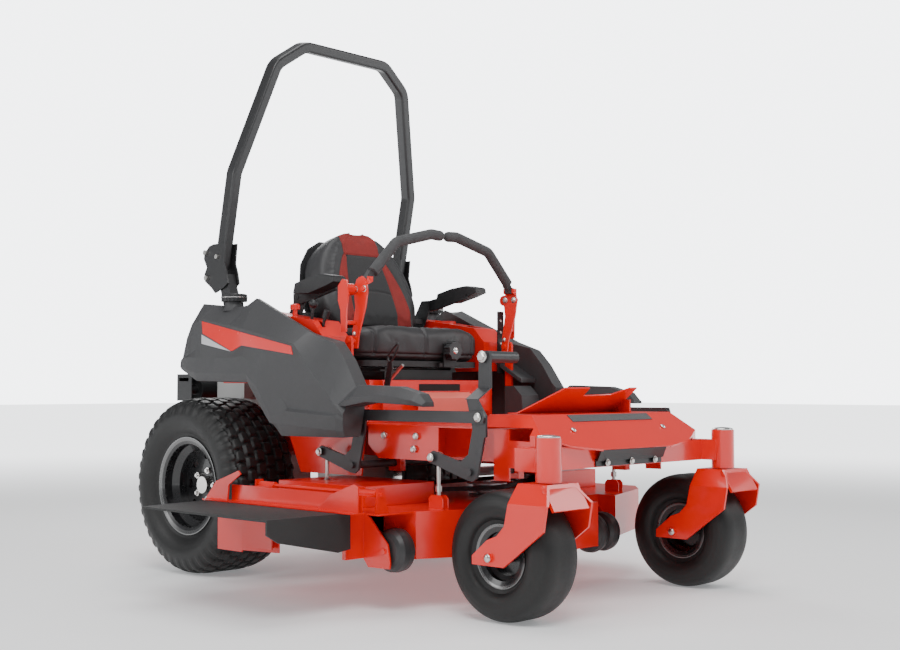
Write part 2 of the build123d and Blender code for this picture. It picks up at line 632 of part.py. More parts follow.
# ==== steering levers ====
lever_bolts = ((649.0, 956.0), (689.0, 956.0))
grip_radius = 18.0
grip_path = [(330, 1012), (226, 1118), (62, 1158), (22, 1156)]
grip_x = 672.0
swing_pin = (lever_plane - 36, 988.0)   # (y, z) of the fore-and-aft pin that a lever swings out on
swing_radius = 6.0


def lever_bracket(side):
    x, z = lever_pivot
    blade = [(x - 12, z - 22), (x + 14, z - 22), (x + 20, z + 20), (x + 52, z + 112), (x + 60, z + 160),
             (x + 54, z + 196), (x + 34, z + 210), (x + 10, z + 200), (x - 4, z + 168), (x + 4, z + 110), (x - 8, z + 40)]
    tail = [(x - 14, z + 30), (x + 8, z + 30), (x + 10, z + 100), (x + 18, z + 150), (x + 10, z + 196),
            (x - 10, z + 200), (x - 30, z + 180), (x - 30, z + 130), (x - 18, z + 100)]
    with BuildPart() as lever_bracket:
        side_plate(blade, side * (lever_plane - 22), 6)
        side_plate(tail, side * (lever_plane + 22), 6)
        rod_y(x - 4, z + 168, side * (lever_plane - 22), side * (lever_plane + 22), 11)
        rod_y(x, z + 60, side * (lever_plane - 22), side * (lever_plane + 22), 7)
        rod_y(x, z, side * (lever_plane - 19), side * (lever_plane - 30), 9)
        rod_y(x, z, side * (lever_plane - 20), side * (lever_plane + 10), lever_pin)
        for bolt_x, bolt_z in lever_bolts:
            rod_y(bolt_x, bolt_z, side * (lever_plane - 19), side * (lever_plane - 9), 8)
        rod_x(side * swing_pin[0], swing_pin[1], x + 12, x + 62, swing_radius)
        for ear in (x + 14, x + 54):
            front_plate([(side * (lever_plane - 24), 970), (side * (lever_plane - 24), 996),
                         (side * (swing_pin[0] - 9), 996), (side * (swing_pin[0] - 9), 980)], ear, ear + 6)
    finish(lever_bracket.part, f"lever_bracket_{'left' if side > 0 else 'right'}")


def control_lever(side):
    plane = Plane(origin=(grip_x + 16, 0, 0), x_dir=(0, side, 0), z_dir=(side, 0, 0))
    with BuildPart() as control_lever:
        with BuildLine(plane) as route:
            FilletPolyline(*grip_path, radius=40)
        with BuildSketch(Plane(origin=route.line @ 0, z_dir=route.line % 0)):
            Circle(grip_radius)
        sweep(path=route.wires()[0])
        with Locations(route.line @ 1):
            Sphere(grip_radius - 0.2)
        knuckle = (lever_pivot[0] + 22, lever_pivot[0] + 52)
        rod_x(side * swing_pin[0], swing_pin[1], knuckle[0], knuckle[1], 11)
        front_plate([(side * (swing_pin[0] - 2), swing_pin[1] - 9), (side * (swing_pin[0] + 4), swing_pin[1] + 9),
                     (side * 338, 1022), (side * 322, 1002)], knuckle[0] + 6, knuckle[1] - 6)
        rod_x(side * swing_pin[0], swing_pin[1], knuckle[0] - 1, knuckle[1] + 1, swing_radius + fit,
              mode=Mode.SUBTRACT)
    finish(control_lever.part, f"control_lever_{'left' if side > 0 else 'right'}")


for side in sides.values():
    lever_bracket(side)
    control_lever(side)

# ==== roll-over bar ====
tube_deep = 50.0            # tube size along the machine
tube_wide = 38.0
hoop_wall = 3.2
cheek = 6.0
hinge_pin = 8.0
post_top = hinge_height - 62
hoop_plane = Plane(origin=(hinge_x, 0, hinge_height), x_dir=(0, 1, 0),
                   z_dir=(cos(radians(hoop_lean)), 0, -sin(radians(hoop_lean))))
hoop_rise = (hoop_height - hinge_height) / cos(radians(hoop_lean)) - tube_wide / 2
hoop_foot = -42.0

with BuildPart() as rops_hoop:
    half = [(hoop_track, hoop_foot), (hoop_track, 300), (hoop_track - 116, hoop_rise - 84), (hoop_track - 232, hoop_rise)]
    with BuildLine(hoop_plane) as route:
        FilletPolyline(*(half + [(-y, rise) for y, rise in reversed(half)]), radius=70)
    with BuildSketch(Plane(origin=route.line @ 0, z_dir=route.line % 0, x_dir=hoop_plane.z_dir)):
        RectangleRounded(tube_deep, tube_wide, 9)
        RectangleRounded(tube_deep - 2 * hoop_wall, tube_wide - 2 * hoop_wall, 5, mode=Mode.SUBTRACT)
    sweep(path=route.wires()[0])
    for side in sides.values():
        rod_y(hinge_x, hinge_height, side * (hoop_track - 20.2), side * (hoop_track + 20.2), hinge_pin + 5)
        rod_y(hinge_x, hinge_height, side * (hoop_track - 30), side * (hoop_track + 30), hinge_pin + fit,
              mode=Mode.SUBTRACT)
finish(rops_hoop.part, "rops_hoop")

cheek_outline = [(58, 990), (80, 1004), (72, 1040), (58, 1075), (66, 1146), (-6, 1146), (-32, 1140), (-60, 1114),
                 (-62, 1096), (-44, 1066), (-58, 1042), (-54, 1016), (-16, 992), (6, 972)]
with BuildPart() as rops_posts:
    for side in sides.values():
        foot = (165, 664)
        head = (34, post_top)
        side_plate([(foot[0] - 26, foot[1]), (foot[0] + 26, foot[1]), (head[0] + 25, head[1]), (head[0] - 25, head[1])],
                   side * hoop_track, tube_wide)
        for offset in (-1, 1):
            side_plate(cheek_outline, side * hoop_track + offset * (tube_wide / 2 + 1.5 + cheek / 2), cheek)
        side_plate([(-16, 992), (62, 992), (58, post_top - 2), (-10, post_top - 2)], side * hoop_track, tube_wide + 4)
        block((foot[0] - 40, foot[0] + 24), (side * (hoop_track - 34), side * (hoop_track + 25)),
              (foot[1] - 0.8, foot[1] + 6))
        rod_y(hinge_x, hinge_height, side * (hoop_track - 40), side * (hoop_track + 40), hinge_pin + fit,
              mode=Mode.SUBTRACT)
finish(rops_posts.part, "rops_posts")

# ==== deck ====
spindle_places = [(outer_blade[0], outer_blade[1]), centre_blade, (outer_blade[0], -outer_blade[1])]
spindle_radius = 12.5
notch_right = (965.0, -535.0)       # corner pocket for the right roller
notch_left = (1110.0, 80.0, 300.0)  # front pocket for the pair of rollers
roller_radius = 63.5
roller_right_place = (1050.0, -576.0)
roller_left_place = (1186.0, 190.0)
roller_height = 176.0
pulley_low = 302.0
pulley_high = 330.0
chute_axis = (-652.0, 340.0)
discharge = (630.0, 950.0)


def deck_outline(inset):
    """Plan of the deck, inset from its outer face, with the corner pocket for the right roller."""
    side = deck_half - inset
    front = deck_front - inset * 1.2
    shoulder = 590.0
    return [(deck_rear + inset, -side), (notch_right[0] - inset, -side), (notch_right[0] - inset, notch_right[1] + inset),
            (1092 - inset, notch_right[1] + inset), (front, -120 + inset * 0.5), (front, 70 - inset),
            (notch_left[0] - inset, 70 - inset), (notch_left[0] - inset, notch_left[2] + inset),
            (1182 - inset, notch_left[2] + inset), (1070 - inset, shoulder - inset * 0.5), (985 - inset, side),
            (deck_rear + inset, side)]


with BuildPart() as deck_shell:
    flat_plate(deck_outline(0), deck_low, deck_high)
    flat_plate(deck_outline(deck_sheet), deck_low - 1, deck_high - deck_sheet, mode=Mode.SUBTRACT)
    block(discharge, (-deck_half - 1, -deck_half + 30), (deck_low - 1, deck_high - 26), mode=Mode.SUBTRACT)
    for x, y in spindle_places:
        rod_z(x, y, deck_high - 10, deck_high + 1, 45, mode=Mode.SUBTRACT)
    for x in (rear_shaft[0] + hanger_pin[0], front_shaft[0] + hanger_pin[0]):
        for side in sides.values():
            for offset in (-11, 11):
                side_plate([(x - 28, deck_high), (x + 28, deck_high), (x + 28, deck_high + 30), (x + 18, deck_high + 40),
                            (x - 18, deck_high + 40), (x - 28, deck_high + 30)], side * rod_plane + offset, 5)
    block((960, 1084), (-672, notch_right[1]), (deck_high - deck_sheet, deck_high))
    for x in (516, 1064):
        front_plate([(chute_axis[0] - 16, deck_high), (chute_axis[0] + 30, deck_high), (chute_axis[0] + 14, 356),
                     (chute_axis[0] - 14, 356)], x, x + 6)
        rod_x(chute_axis[0], chute_axis[1], x - 1, x + 7, 6 + fit, mode=Mode.SUBTRACT)
    side_plate([(948, 262), (966, 280), (990, 268), (1064, 196), (1074, 150), (1072, 128), (984, 126), (964, 150)],
               roller_right_place[1] - 42, 6)
    side_plate([(965, 262), (990, 262), (1064, 196), (1070, 140), (1000, 140), (965, 160)],
               roller_right_place[1] + 38, 5)
    rod_y(roller_right_place[0], roller_height, roller_right_place[1] - 50, roller_right_place[1] + 40, 8)
    for y in (roller_left_place[1] - 66, roller_left_place[1] + 66):
        side_plate([(1104, 262), (1136, 262), (1206, 200), (1206, 150), (1120, 150), (1104, 170)], y, 5)
    rod_y(roller_left_place[0], roller_height, roller_left_place[1] - 74, roller_left_place[1] + 74, 8)
    block((deck_rear - 20, 490), (-deck_half - 5, -deck_half), (132, 270))
    flat_plate([(490, -deck_half - 5), (632, -deck_half + 26), (632, -deck_half + 31), (490, -deck_half)], 138, 262)
finish(deck_shell.part, "deck_shell")

with BuildPart() as spindle_housings:
    for x, y in spindle_places:
        rod_z(x, y, deck_high, deck_high + 7, 60)
        rod_z(x, y, deck_high - 60, deck_high + 12, 32)
        rod_z(x, y, deck_high - 61, deck_high + 13, spindle_radius + fit, mode=Mode.SUBTRACT)
finish(spindle_housings.part, "spindle_housings")


def blade(name, place, angle):
    """Mower blade, its shaft and its pulley, turning together."""
    x, y = place
    with BuildPart() as blade:
        rod_z(x, y, 186, pulley_high + 6, spindle_radius)
        rod_z(x, y, 178, 186, 24)
        with BuildSketch(Plane.XY.offset(186)):
            with Locations(Location((x, y), angle)):
                Rectangle(2 * blade_radius, 62)
        extrude(amount=6)
        with BuildSketch(Plane.XY.offset(192)) as wings:
            with Locations(Location((x, y), angle)):
                with Locations((blade_radius - 45, -25), (-blade_radius + 45, 25)):
                    Rectangle(88, 12)
        extrude(wings.sketch, amount=18)
        rod_z(x, y, 192, 224, 22)
        rod_z(x, y, pulley_low, pulley_high, 46)
        rod_z(x, y, pulley_low, pulley_low + 4, 66)
        rod_z(x, y, pulley_high - 4, pulley_high, 66)
    finish(blade.part, name)


for name, place, angle in zip(("blade_left", "blade_centre", "blade_right"), spindle_places, (18, 75, -24)):
    blade(name, place, angle)

with BuildPart() as deck_belt:
    belt_low = pulley_low + 7.5
    for size, mode in ((61, Mode.ADD), (49, Mode.SUBTRACT)):
        with BuildSketch(Plane.XY.offset(belt_low)) as loop:
            with Locations(*spindle_places):
                Circle(size)
            make_hull()
        extrude(loop.sketch, amount=13, mode=mode)
finish(deck_belt.part, "deck_belt")

cover_low = deck_high
cover_high = 348.0
with BuildPart() as belt_covers:
    for side in sides.values():
        y_out = side * 560
        y_in = side * 268
        block((500, 905), (y_out, y_in), (cover_high - 4, cover_high))
        flat_plate([(905, y_out), (905, y_in), (901, y_in), (901, y_out)], cover_low, cover_high)
        block((500, 905), (y_out, y_out - side * 4), (cover_low, cover_high))
        x = rear_shaft[0] + hanger_pin[0]
        block((x - 34, x + 34), (side * (rod_plane - 24), side * (rod_plane + 24)), (cover_low - 1, cover_high + 1),
              mode=Mode.SUBTRACT)
finish(belt_covers.part, "belt_covers")

with BuildPart() as hanger_rods:
    for x, z in (rear_shaft, front_shaft):
        for side in sides.values():
            pin_x = x + hanger_pin[0]
            pin_z = z + hanger_pin[1]
            rod_z(pin_x, side * rod_plane, deck_high + 4, pin_z - 13, 6)
            rod_z(pin_x, side * rod_plane, deck_high + 50, deck_high + 66, 10)
            rod_y(pin_x, pin_z, side * rod_plane - 7, side * rod_plane + 7, 16)
            rod_y(pin_x, pin_z, side * rod_plane - 8, side * rod_plane + 8, 9, mode=Mode.SUBTRACT)
finish(hanger_rods.part, "hanger_rods")

with BuildPart() as chute_frame:
    y = -deck_half - 3
    flat_plate([(372, y), (1050, y), (1050, y - 44), (340, y - 44)], 286.5, 290.5)
    block((440, 1040), (y - 4, y), (286.5, 338))
    side_plate([(330, 287), (386, 346), (500, 384), (512, 374), (452, 338), (446, 287)], y - 24, 5)
    side_plate([(874, 287), (932, 336), (1030, 370), (1048, 362), (1048, 287)], y - 24, 5)
    for x_low, x_high in ((530, 600), (980, 1056)):
        rod_x(chute_axis[0], chute_axis[1], x_low, x_high, 11)
        block((x_low, x_high), (y, chute_axis[0]), (332, 338))
    rod_x(chute_axis[0], chute_axis[1], 508, 1078, 6)
finish(chute_frame.part, "chute_frame")

with BuildPart() as chute_plate:
    y = -deck_half - 3
    flat_plate([(344, y), (980, y), (980, -chute_reach), (392, -chute_reach)], 280, 286)
    front_plate([(y, 286), (y + 1, 184), (y - 46, 178), (-chute_reach + 40, 222), (-chute_reach, 246),
                 (-chute_reach, 286)], 980, 988)
finish(chute_plate.part, "chute_plate")


def roller_section(half, bore):
    """Barrel section of a roller as (offset, radius) points."""
    return [(-half, bore), (half, bore), (half, 40), (half - 4, 52), (half - 14, 61), (0, roller_radius),
            (-half + 14, 61), (-half + 4, 52), (-half, 40)]


with BuildPart() as roller_right:
    turned(roller_section(33, 8 + fit), roller_right_place[0], roller_right_place[1], roller_height)
finish(roller_right.part, "roller_right")

with BuildPart() as roller_left:
    for offset in (-31, 31):
        turned(roller_section(30, 8 + fit), roller_left_place[0], roller_left_place[1] + offset, roller_height)
    turned([(-2, 8 + fit), (2, 8 + fit), (2, 14), (-2, 14)], roller_left_place[0], roller_left_place[1], roller_height)
finish(roller_left.part, "roller_left")

# ==== deck lift ====


def crank_arm(x, z, side):
    """Bell-crank arm with its bar pin and hanger pin, in the open part."""
    arm = [(x + 24, z - 16), (x + 8, z - 26), (x - 12, z - 24), (x + hanger_pin[0] - 14, z + hanger_pin[1] - 14),
           (x + hanger_pin[0] - 18, z + hanger_pin[1] + 8), (x + hanger_pin[0], z + hanger_pin[1] + 20),
           (x - 40, z + 28), (x - 10, z + 50), (x + 14, z + 150), (x + 24, z + 172), (x + 46, z + 174), (x + 58, z + 160),
           (x + 52, z + 100)]
    side_plate(arm, side * crank_plane, 8)
    for pin_x, pin_z in (hanger_pin, (0, 0)):
        rod_y(x + pin_x, z + pin_z, side * (crank_plane + 4), side * (crank_plane + 13), 10)
    rod_y(x + link_pin[0], z + link_pin[1], side * (crank_plane + 4), side * (crank_plane + 14), 7)


with BuildPart() as lift_crank_rear:
    x, z = rear_shaft
    rod_y(x, z, -crank_plane, crank_plane, shaft_radius)
    for side in sides.values():
        crank_arm(x, z, side)
finish(lift_crank_rear.part, "lift_crank_rear")

pedal_height = 329.0
with BuildPart() as lift_crank_front:
    x, z = front_shaft
    rod_y(x, z, -crank_plane, crank_plane, shaft_radius)
    for side in sides.values():
        crank_arm(x, z, side)
    side_plate([(x + 14, z + 100), (x + 58, z + 100), (x + 58, z + 160), (x + 24, z + 208), (x - 16, z + 208)],
               -crank_plane, 8)
    knee = [(crank_plane + 4, z + 206), (crank_plane - 4, z + 206), (392, z + 240), (400, z + 240)]
    front_plate([(-y, height) for y, height in knee], x - 22, x + 26)
    side_plate([(x - 22, z + 238), (x + 26, z + 238), (x + 24, z + 346), (x - 18, z + 346)], -396, 8)
    rod_y(x + 1, z + pedal_height, -408, -262, 17)
finish(lift_crank_front.part, "lift_crank_front")

with BuildPart() as lift_link:
    bar_rear = rear_shaft[0] + link_pin[0]
    bar_front = front_shaft[0] + link_pin[0]
    bar_height = rear_shaft[1] + link_pin[1]
    for side in sides.values():
        side_plate([(bar_rear - 20, bar_height - 17), (bar_front + 18, bar_height - 17), (bar_front + 24, bar_height),
                    (bar_front + 18, bar_height + 17), (bar_rear - 20, bar_height + 17)],
                   side * (crank_plane + 9), 7)
        for x in (bar_rear, bar_front):
            rod_y(x, bar_height, side * (crank_plane + 5), side * (crank_plane + 13), 9, mode=Mode.SUBTRACT)
finish(lift_link.part, "lift_link")

# ==== drive train and engine ====
with BuildPart() as transaxles:
    for side in sides.values():
        block((-95, 125), (side * 110, side * (rail_inner + 30)), (236, transaxle_top))
    chamfer(transaxles.edges().filter_by(Axis.Y), 20)
    for side in sides.values():
        rod_y(0, drive_radius, side * (rail_inner + 30), side * 384, 44)
        rod_y(0, drive_radius, side * (rail_outer + 9), side * 386, axle_radius + fit, mode=Mode.SUBTRACT)
        for x in range(-60, 61, 30):
            block((x, x + 8), (side * 120, side * 250), (228, 236))
finish(transaxles.part, "transaxles")

engine_x = -120.0
with BuildPart() as engine_block:
    block((engine_x - 150, engine_x + 150), (-150, 150), (rail_high + sheet, 640))
    for side in sides.values():
        for row in range(6):
            block((engine_x - 60, engine_x + 90), (side * 150, side * 262), (596 + row * 18, 606 + row * 18))
        block((engine_x - 40, engine_x + 70), (side * 150, side * 262), (600, 692))
        block((engine_x - 66, engine_x + 96), (side * 262, side * 300), (600, 694))
    block((engine_x - 120, engine_x + 120), (-150, 150), (640, 700))
finish(engine_block.part, "engine_block")

with BuildPart() as engine_cover:
    block((engine_x - 150, engine_x + 150), (-200, 200), (701, 800))
    fillet(engine_cover.edges().filter_by(Axis.Z), 60)
    rod_z(engine_x, 0, 800, 838, 140)
    rod_z(engine_x, 0, 838, 866, 118)
    rod_z(engine_x, 0, 700, 790, 120, mode=Mode.SUBTRACT)
finish(engine_cover.part, "engine_cover")

with BuildPart() as muffler:
    x = engine_x - 205
    rod_y(x, 632, -300, 300, 48)
    block((x - 54, x - 50), (-345, 345), (590, 690))
    block((x - 54, x + 40), (-345, 345), (686, 690))
    for side in sides.values():
        block((x - 54, x + 40), (side * 345, side * 341), (590, 690))
        block((x - 54, x + 54), (side * 276, side * 270), (rail_high + sheet, 590))
        rod_y(x, 632, side * 298, side * 342, 20)
        block((x - 40, x + 20), (side * 346, side * 340), (664, 676), mode=Mode.SUBTRACT)
    rod_y(x, 632, -297, 297, 45, mode=Mode.SUBTRACT)
finish(muffler.part, "muffler")

# ==== fasteners on the frame ====
with BuildPart() as frame_bolts:
    for side in sides.values():
        rod_y(hinge_x, hinge_height, side * (hoop_track - 34), side * (hoop_track + 34), hinge_pin)
        for x, z in ((-46, 1118), (-40, 1028)):
            rod_y(x, z, side * (hoop_track + 27.2), side * (hoop_track + 36), 9)
        rod_z(caster_pivot, side * caster_track, head_high, head_high + 3, head_radius - 3)
        for x, z in ((800, 492), (940, 492), (930, 452), (420, 500), (590, 500)):
            rod_y(x, z, side * (side_plane + sheet / 2), side * (side_plane + sheet / 2 + 7), 9)
finish(frame_bolts.part, "frame_bolts")
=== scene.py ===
import json
import math

import bmesh
import bpy
import numpy as np
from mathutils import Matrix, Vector


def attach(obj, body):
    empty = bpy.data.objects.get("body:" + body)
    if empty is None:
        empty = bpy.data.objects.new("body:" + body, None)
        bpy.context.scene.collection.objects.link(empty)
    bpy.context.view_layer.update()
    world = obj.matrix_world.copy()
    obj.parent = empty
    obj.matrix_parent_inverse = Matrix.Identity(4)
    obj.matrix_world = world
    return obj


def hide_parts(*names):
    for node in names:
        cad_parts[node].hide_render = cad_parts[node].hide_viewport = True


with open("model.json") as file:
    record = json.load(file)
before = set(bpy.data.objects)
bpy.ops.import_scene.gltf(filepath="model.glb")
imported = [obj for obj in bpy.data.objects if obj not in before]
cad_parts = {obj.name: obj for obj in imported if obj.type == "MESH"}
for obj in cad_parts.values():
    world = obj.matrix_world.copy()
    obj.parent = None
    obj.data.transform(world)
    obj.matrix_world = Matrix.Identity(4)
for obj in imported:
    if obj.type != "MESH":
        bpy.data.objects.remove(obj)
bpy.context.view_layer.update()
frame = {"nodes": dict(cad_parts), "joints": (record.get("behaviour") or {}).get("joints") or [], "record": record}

nodes = frame["nodes"]
joints = {joint["name"]: joint for joint in frame["joints"]}
bodyOf = {node: body for body, members in frame["record"]["behaviour"]["bodies"].items() for node in members}
axle = {side: np.array(joints["drive_spin_" + side]["pos_m"]) for side in ("left", "right")}
shift = np.array([axle["right"][0], (axle["right"][1] + axle["left"][1]) / 2, 0.0])
sideSign = {"right": -1, "left": 1}


def place(*point):
    return shift + np.array(point, float)  # from the drive axle and centre line to the row's frame


# ---------- materials ----------
class Wire:
    # a shader socket that can be added, multiplied and so on, each step making its own Math node
    def __init__(self, tree, socket):
        self.tree, self.socket = tree, socket

    def node(self, kind, settings=None, values=None, output=0):
        made = self.tree.nodes.new(kind)
        for key, value in (settings or {}).items():
            if key == "stops":
                ramp = made.color_ramp
                for index, (spot, colour) in enumerate(value):
                    element = ramp.elements[index] if index < 2 else ramp.elements.new(spot)
                    element.position, element.color = spot, (*colour, 1.0)
            else:
                setattr(made, key, value)
        for key, value in (values or {}).items():
            socket = made.inputs[key]
            if isinstance(value, Wire):
                self.tree.links.new(value.socket, socket)
            else:
                socket.default_value = value
        return Wire(self.tree, made.outputs[output])

    def maths(self, operation, first, second=0.0, third=0.0, clamp=False):
        return self.node("ShaderNodeMath", {"operation": operation, "use_clamp": clamp},
                         {0: first, 1: second, 2: third})

    def __add__(self, other): return self.maths("ADD", self, other)
    def __radd__(self, other): return self.maths("ADD", other, self)
    def __sub__(self, other): return self.maths("SUBTRACT", self, other)
    def __rsub__(self, other): return self.maths("SUBTRACT", other, self)
    def __mul__(self, other): return self.maths("MULTIPLY", self, other)
    def __rmul__(self, other): return self.maths("MULTIPLY", other, self)
    def __truediv__(self, other): return self.maths("DIVIDE", self, other)
    def __rtruediv__(self, other): return self.maths("DIVIDE", other, self)
    def __pow__(self, other): return self.maths("POWER", self, other)
    def __abs__(self): return self.maths("ABSOLUTE", self)

    def step(self, low, high):  # 0 below low, 1 above high, smooth between
        return self.node("ShaderNodeMapRange", {"interpolation_type": "SMOOTHSTEP", "clamp": True},
                         {"Value": self, "From Min": low, "From Max": high, "To Min": 0.0, "To Max": 1.0})

    def either(self, other): return self.maths("MAXIMUM", self, other)


class Finish:
    # one material: its coordinates, its shader and the links between them
    def __init__(self, name, metal=0.0, coat=0.0, coatRough=0.08, sheen=0.0, ior=1.5):
        self.material = bpy.data.materials.new(name)
        self.material.use_nodes = True
        self.tree = self.material.node_tree
        self.shader = self.tree.nodes["Principled BSDF"]
        for key, value in (("Metallic", metal), ("Coat Weight", coat), ("Coat Roughness", coatRough),
                           ("Sheen Weight", sheen), ("IOR", ior)):
            self.shader.inputs[key].default_value = value
        coordinate = self.tree.nodes.new("ShaderNodeTexCoord")
        self.point = Wire(self.tree, coordinate.outputs["Object"])
        self.bumps = None

    def axes(self):
        split = self.tree.nodes.new("ShaderNodeSeparateXYZ")
        self.tree.links.new(self.point.socket, split.inputs[0])
        return [Wire(self.tree, split.outputs[index]) for index in range(3)]

    def noise(self, scale, detail=4.0, rough=0.55, stretch=None):
        point = self.point
        if stretch:
            point = point.node("ShaderNodeMapping", {}, {"Vector": point, "Scale": stretch})
        return point.node("ShaderNodeTexNoise", {},
                          {"Vector": point, "Scale": scale, "Detail": detail, "Roughness": rough})

    def cells(self, scale, feature="F1", output=0):
        return self.point.node("ShaderNodeTexVoronoi", {"feature": feature},
                               {"Vector": self.point, "Scale": scale}, output)

    def blend(self, factor, low, high):
        return self.point.node("ShaderNodeMix", {"data_type": "RGBA"},
                               {0: factor, 6: self.colour(low), 7: self.colour(high)}, 2)

    @staticmethod
    def colour(value):
        return value if isinstance(value, Wire) else (*value, 1.0)

    def feed(self, key, value):
        if isinstance(value, Wire):
            self.tree.links.new(value.socket, self.shader.inputs[key])
        else:
            self.shader.inputs[key].default_value = self.colour(value) if key == "Base Color" else value

    def bump(self, height, strength, distance):
        values = {"Height": height, "Strength": strength, "Distance": distance}
        if self.bumps:
            values["Normal"] = self.bumps
        self.bumps = self.point.node("ShaderNodeBump", {}, values)
        self.feed("Normal", self.bumps)


def shade(colour, factor):
    return tuple(min(1.0, part * factor) for part in colour)


paintLook = {"red": (0.80, 0.010, 0.002), "black": (0.013, 0.013, 0.014), "grey": (0.032, 0.032, 0.034),
             "rough": 0.30}


def powderCoat(name, colour, rough, coat, dust=0.05):
    finish = Finish(name, coat=coat, coatRough=0.12)
    mottle = finish.noise(2.2, 3.0)
    scuff = finish.noise(38.0, 6.0, 0.7)
    speck = finish.noise(9.0, 8.0, 0.72).step(0.62, 0.80)
    base = finish.blend(mottle, shade(colour, 0.90), shade(colour, 1.10))
    dusty = tuple(part * 0.6 + 0.12 for part in colour)
    finish.feed("Base Color", finish.blend(speck * dust, base, dusty))
    finish.feed("Roughness", rough - 0.05 + scuff * 0.10 + speck * 0.12)
    finish.bump(finish.noise(420.0, 2.0), 0.10, 0.0006)
    finish.bump(scuff, 0.03, 0.0015)
    return finish.material


def mouldedPlastic(name, colour, rough, grain, depth):
    finish = Finish(name)
    mottle = finish.noise(3.5, 4.0)
    pits = finish.cells(grain)
    finish.feed("Base Color", finish.blend(mottle, shade(colour, 0.88), shade(colour, 1.14)))
    finish.feed("Roughness", rough - 0.04 + finish.noise(60.0, 5.0) * 0.12)
    finish.bump(pits, depth, 0.0008)
    return finish.material


def plated(name, colour, rough, brushed=None):
    finish = Finish(name, metal=1.0)
    streak = finish.noise(90.0, 6.0, 0.6, brushed or (1.0, 1.0, 1.0))
    haze = finish.noise(14.0, 5.0)
    finish.feed("Base Color", finish.blend(haze, shade(colour, 0.82), shade(colour, 1.12)))
    finish.feed("Roughness", rough - 0.06 + streak * 0.16)
    finish.bump(streak, 0.05, 0.0005)
    return finish.material


def castMetal(name, colour):
    finish = Finish(name, metal=0.75)
    lump = finish.noise(160.0, 6.0, 0.6)
    stain = finish.noise(7.0, 6.0)
    finish.feed("Base Color", finish.blend(stain, shade(colour, 0.65), colour))
    finish.feed("Roughness", 0.42 + lump * 0.2)
    finish.bump(lump, 0.35, 0.001)
    return finish.material


def tyreRubber(name, centre, ribs):
    # radius from the wheel's centre gives the moulded rings on the sidewall
    finish = Finish(name)
    x, y, z = finish.axes()
    radius = ((x - float(centre[0])) ** 2.0 + (z - float(centre[2])) ** 2.0) ** 0.5
    ring = (radius * ribs).maths("SINE", radius * ribs)
    dust = finish.noise(6.5, 7.0, 0.65).step(0.45, 0.80)
    finish.feed("Base Color", finish.blend(dust * 0.7, (0.006, 0.006, 0.006), (0.020, 0.0195, 0.0185)))
    finish.feed("Roughness", 0.46 + dust * 0.22 + finish.noise(120.0, 3.0) * 0.08)
    finish.bump(finish.noise(260.0, 4.0), 0.20, 0.001)
    finish.bump(ring, 0.10, 0.0012)
    return finish.material


def softRubber(name, colour, rough=0.55):
    finish = Finish(name)
    wear = finish.noise(11.0, 6.0, 0.7)
    finish.feed("Base Color", finish.blend(wear, shade(colour, 0.75), shade(colour, 1.35)))
    finish.feed("Roughness", rough + wear * 0.18)
    finish.bump(finish.cells(900.0), 0.25, 0.0008)
    finish.bump(wear, 0.12, 0.002)
    return finish.material


def foamGrip(name):
    finish = Finish(name)
    pores = finish.cells(650.0)
    finish.feed("Base Color", finish.blend(finish.noise(30.0, 4.0), (0.035, 0.035, 0.036),
                                           (0.075, 0.075, 0.077)))
    finish.feed("Roughness", 0.78 + pores * 0.1)
    finish.bump(pores, 0.5, 0.001)
    return finish.material


def rimPaint(name, centre, flange, width):
    # gloss black well with a bare bright ring on the rolled flange
    finish = Finish(name, coat=0.4)
    x, y, z = finish.axes()
    radius = ((x - float(centre[0])) ** 2.0 + (z - float(centre[2])) ** 2.0) ** 0.5
    bright = radius.step(flange - width, flange - width * 0.7)
    grime = finish.noise(18.0, 6.0)
    finish.feed("Base Color", finish.blend(bright, (0.009, 0.009, 0.010), (0.17, 0.17, 0.17)))
    finish.feed("Metallic", bright * 0.9)
    finish.feed("Roughness", 0.20 + grime * 0.16)
    finish.bump(grime, 0.05, 0.001)
    return finish.material


red = powderCoat("redPowderCoat", paintLook["red"], paintLook["rough"], 0.5)
blackPaint = powderCoat("blackPowderCoat", paintLook["black"], 0.42, 0.15, 0.25)
greyPaint = powderCoat("greyPowderCoat", paintLook["grey"], 0.45, 0.1, 0.2)
fenderPlastic = mouldedPlastic("fenderPlastic", (0.044, 0.044, 0.046), 0.52, 950.0, 0.22)
blackPlastic = mouldedPlastic("blackPlastic", (0.012, 0.012, 0.013), 0.44, 1100.0, 0.18)
zinc = plated("zincPlate", (0.66, 0.65, 0.62), 0.30)
bladeSteel = plated("bladeSteel", (0.40, 0.40, 0.41), 0.36, (1.0, 9.0, 1.0))
domeSteel = plated("domeSteel", (0.82, 0.80, 0.78), 0.16)
aluminium = castMetal("castAluminium", (0.42, 0.42, 0.41))
chuteRubber = softRubber("chuteRubber", (0.020, 0.020, 0.020))
beltRubber = softRubber("beltRubber", (0.016, 0.016, 0.017))
rollerPlastic = mouldedPlastic("rollerPlastic", (0.030, 0.030, 0.031), 0.40, 500.0, 0.15)
grip = foamGrip("gripFoam")
print("materials ready")


# ---------- mesh helpers ----------
def closedGrid(name, rings):
    # rings: (count along, count around, 3) of points; the section closes on itself, and both ends are capped
    along, around = rings.shape[:2]
    index = np.arange(along * around).reshape(along, around)
    follow = np.roll(index, -1, axis=1)
    quads = np.stack([index[:-1], follow[:-1], follow[1:], index[1:]], axis=-1).reshape(-1, 4)
    faces = quads.tolist() + [index[0][::-1].tolist(), index[-1].tolist()]
    return meshPiece(name, rings.reshape(-1, 3), faces)


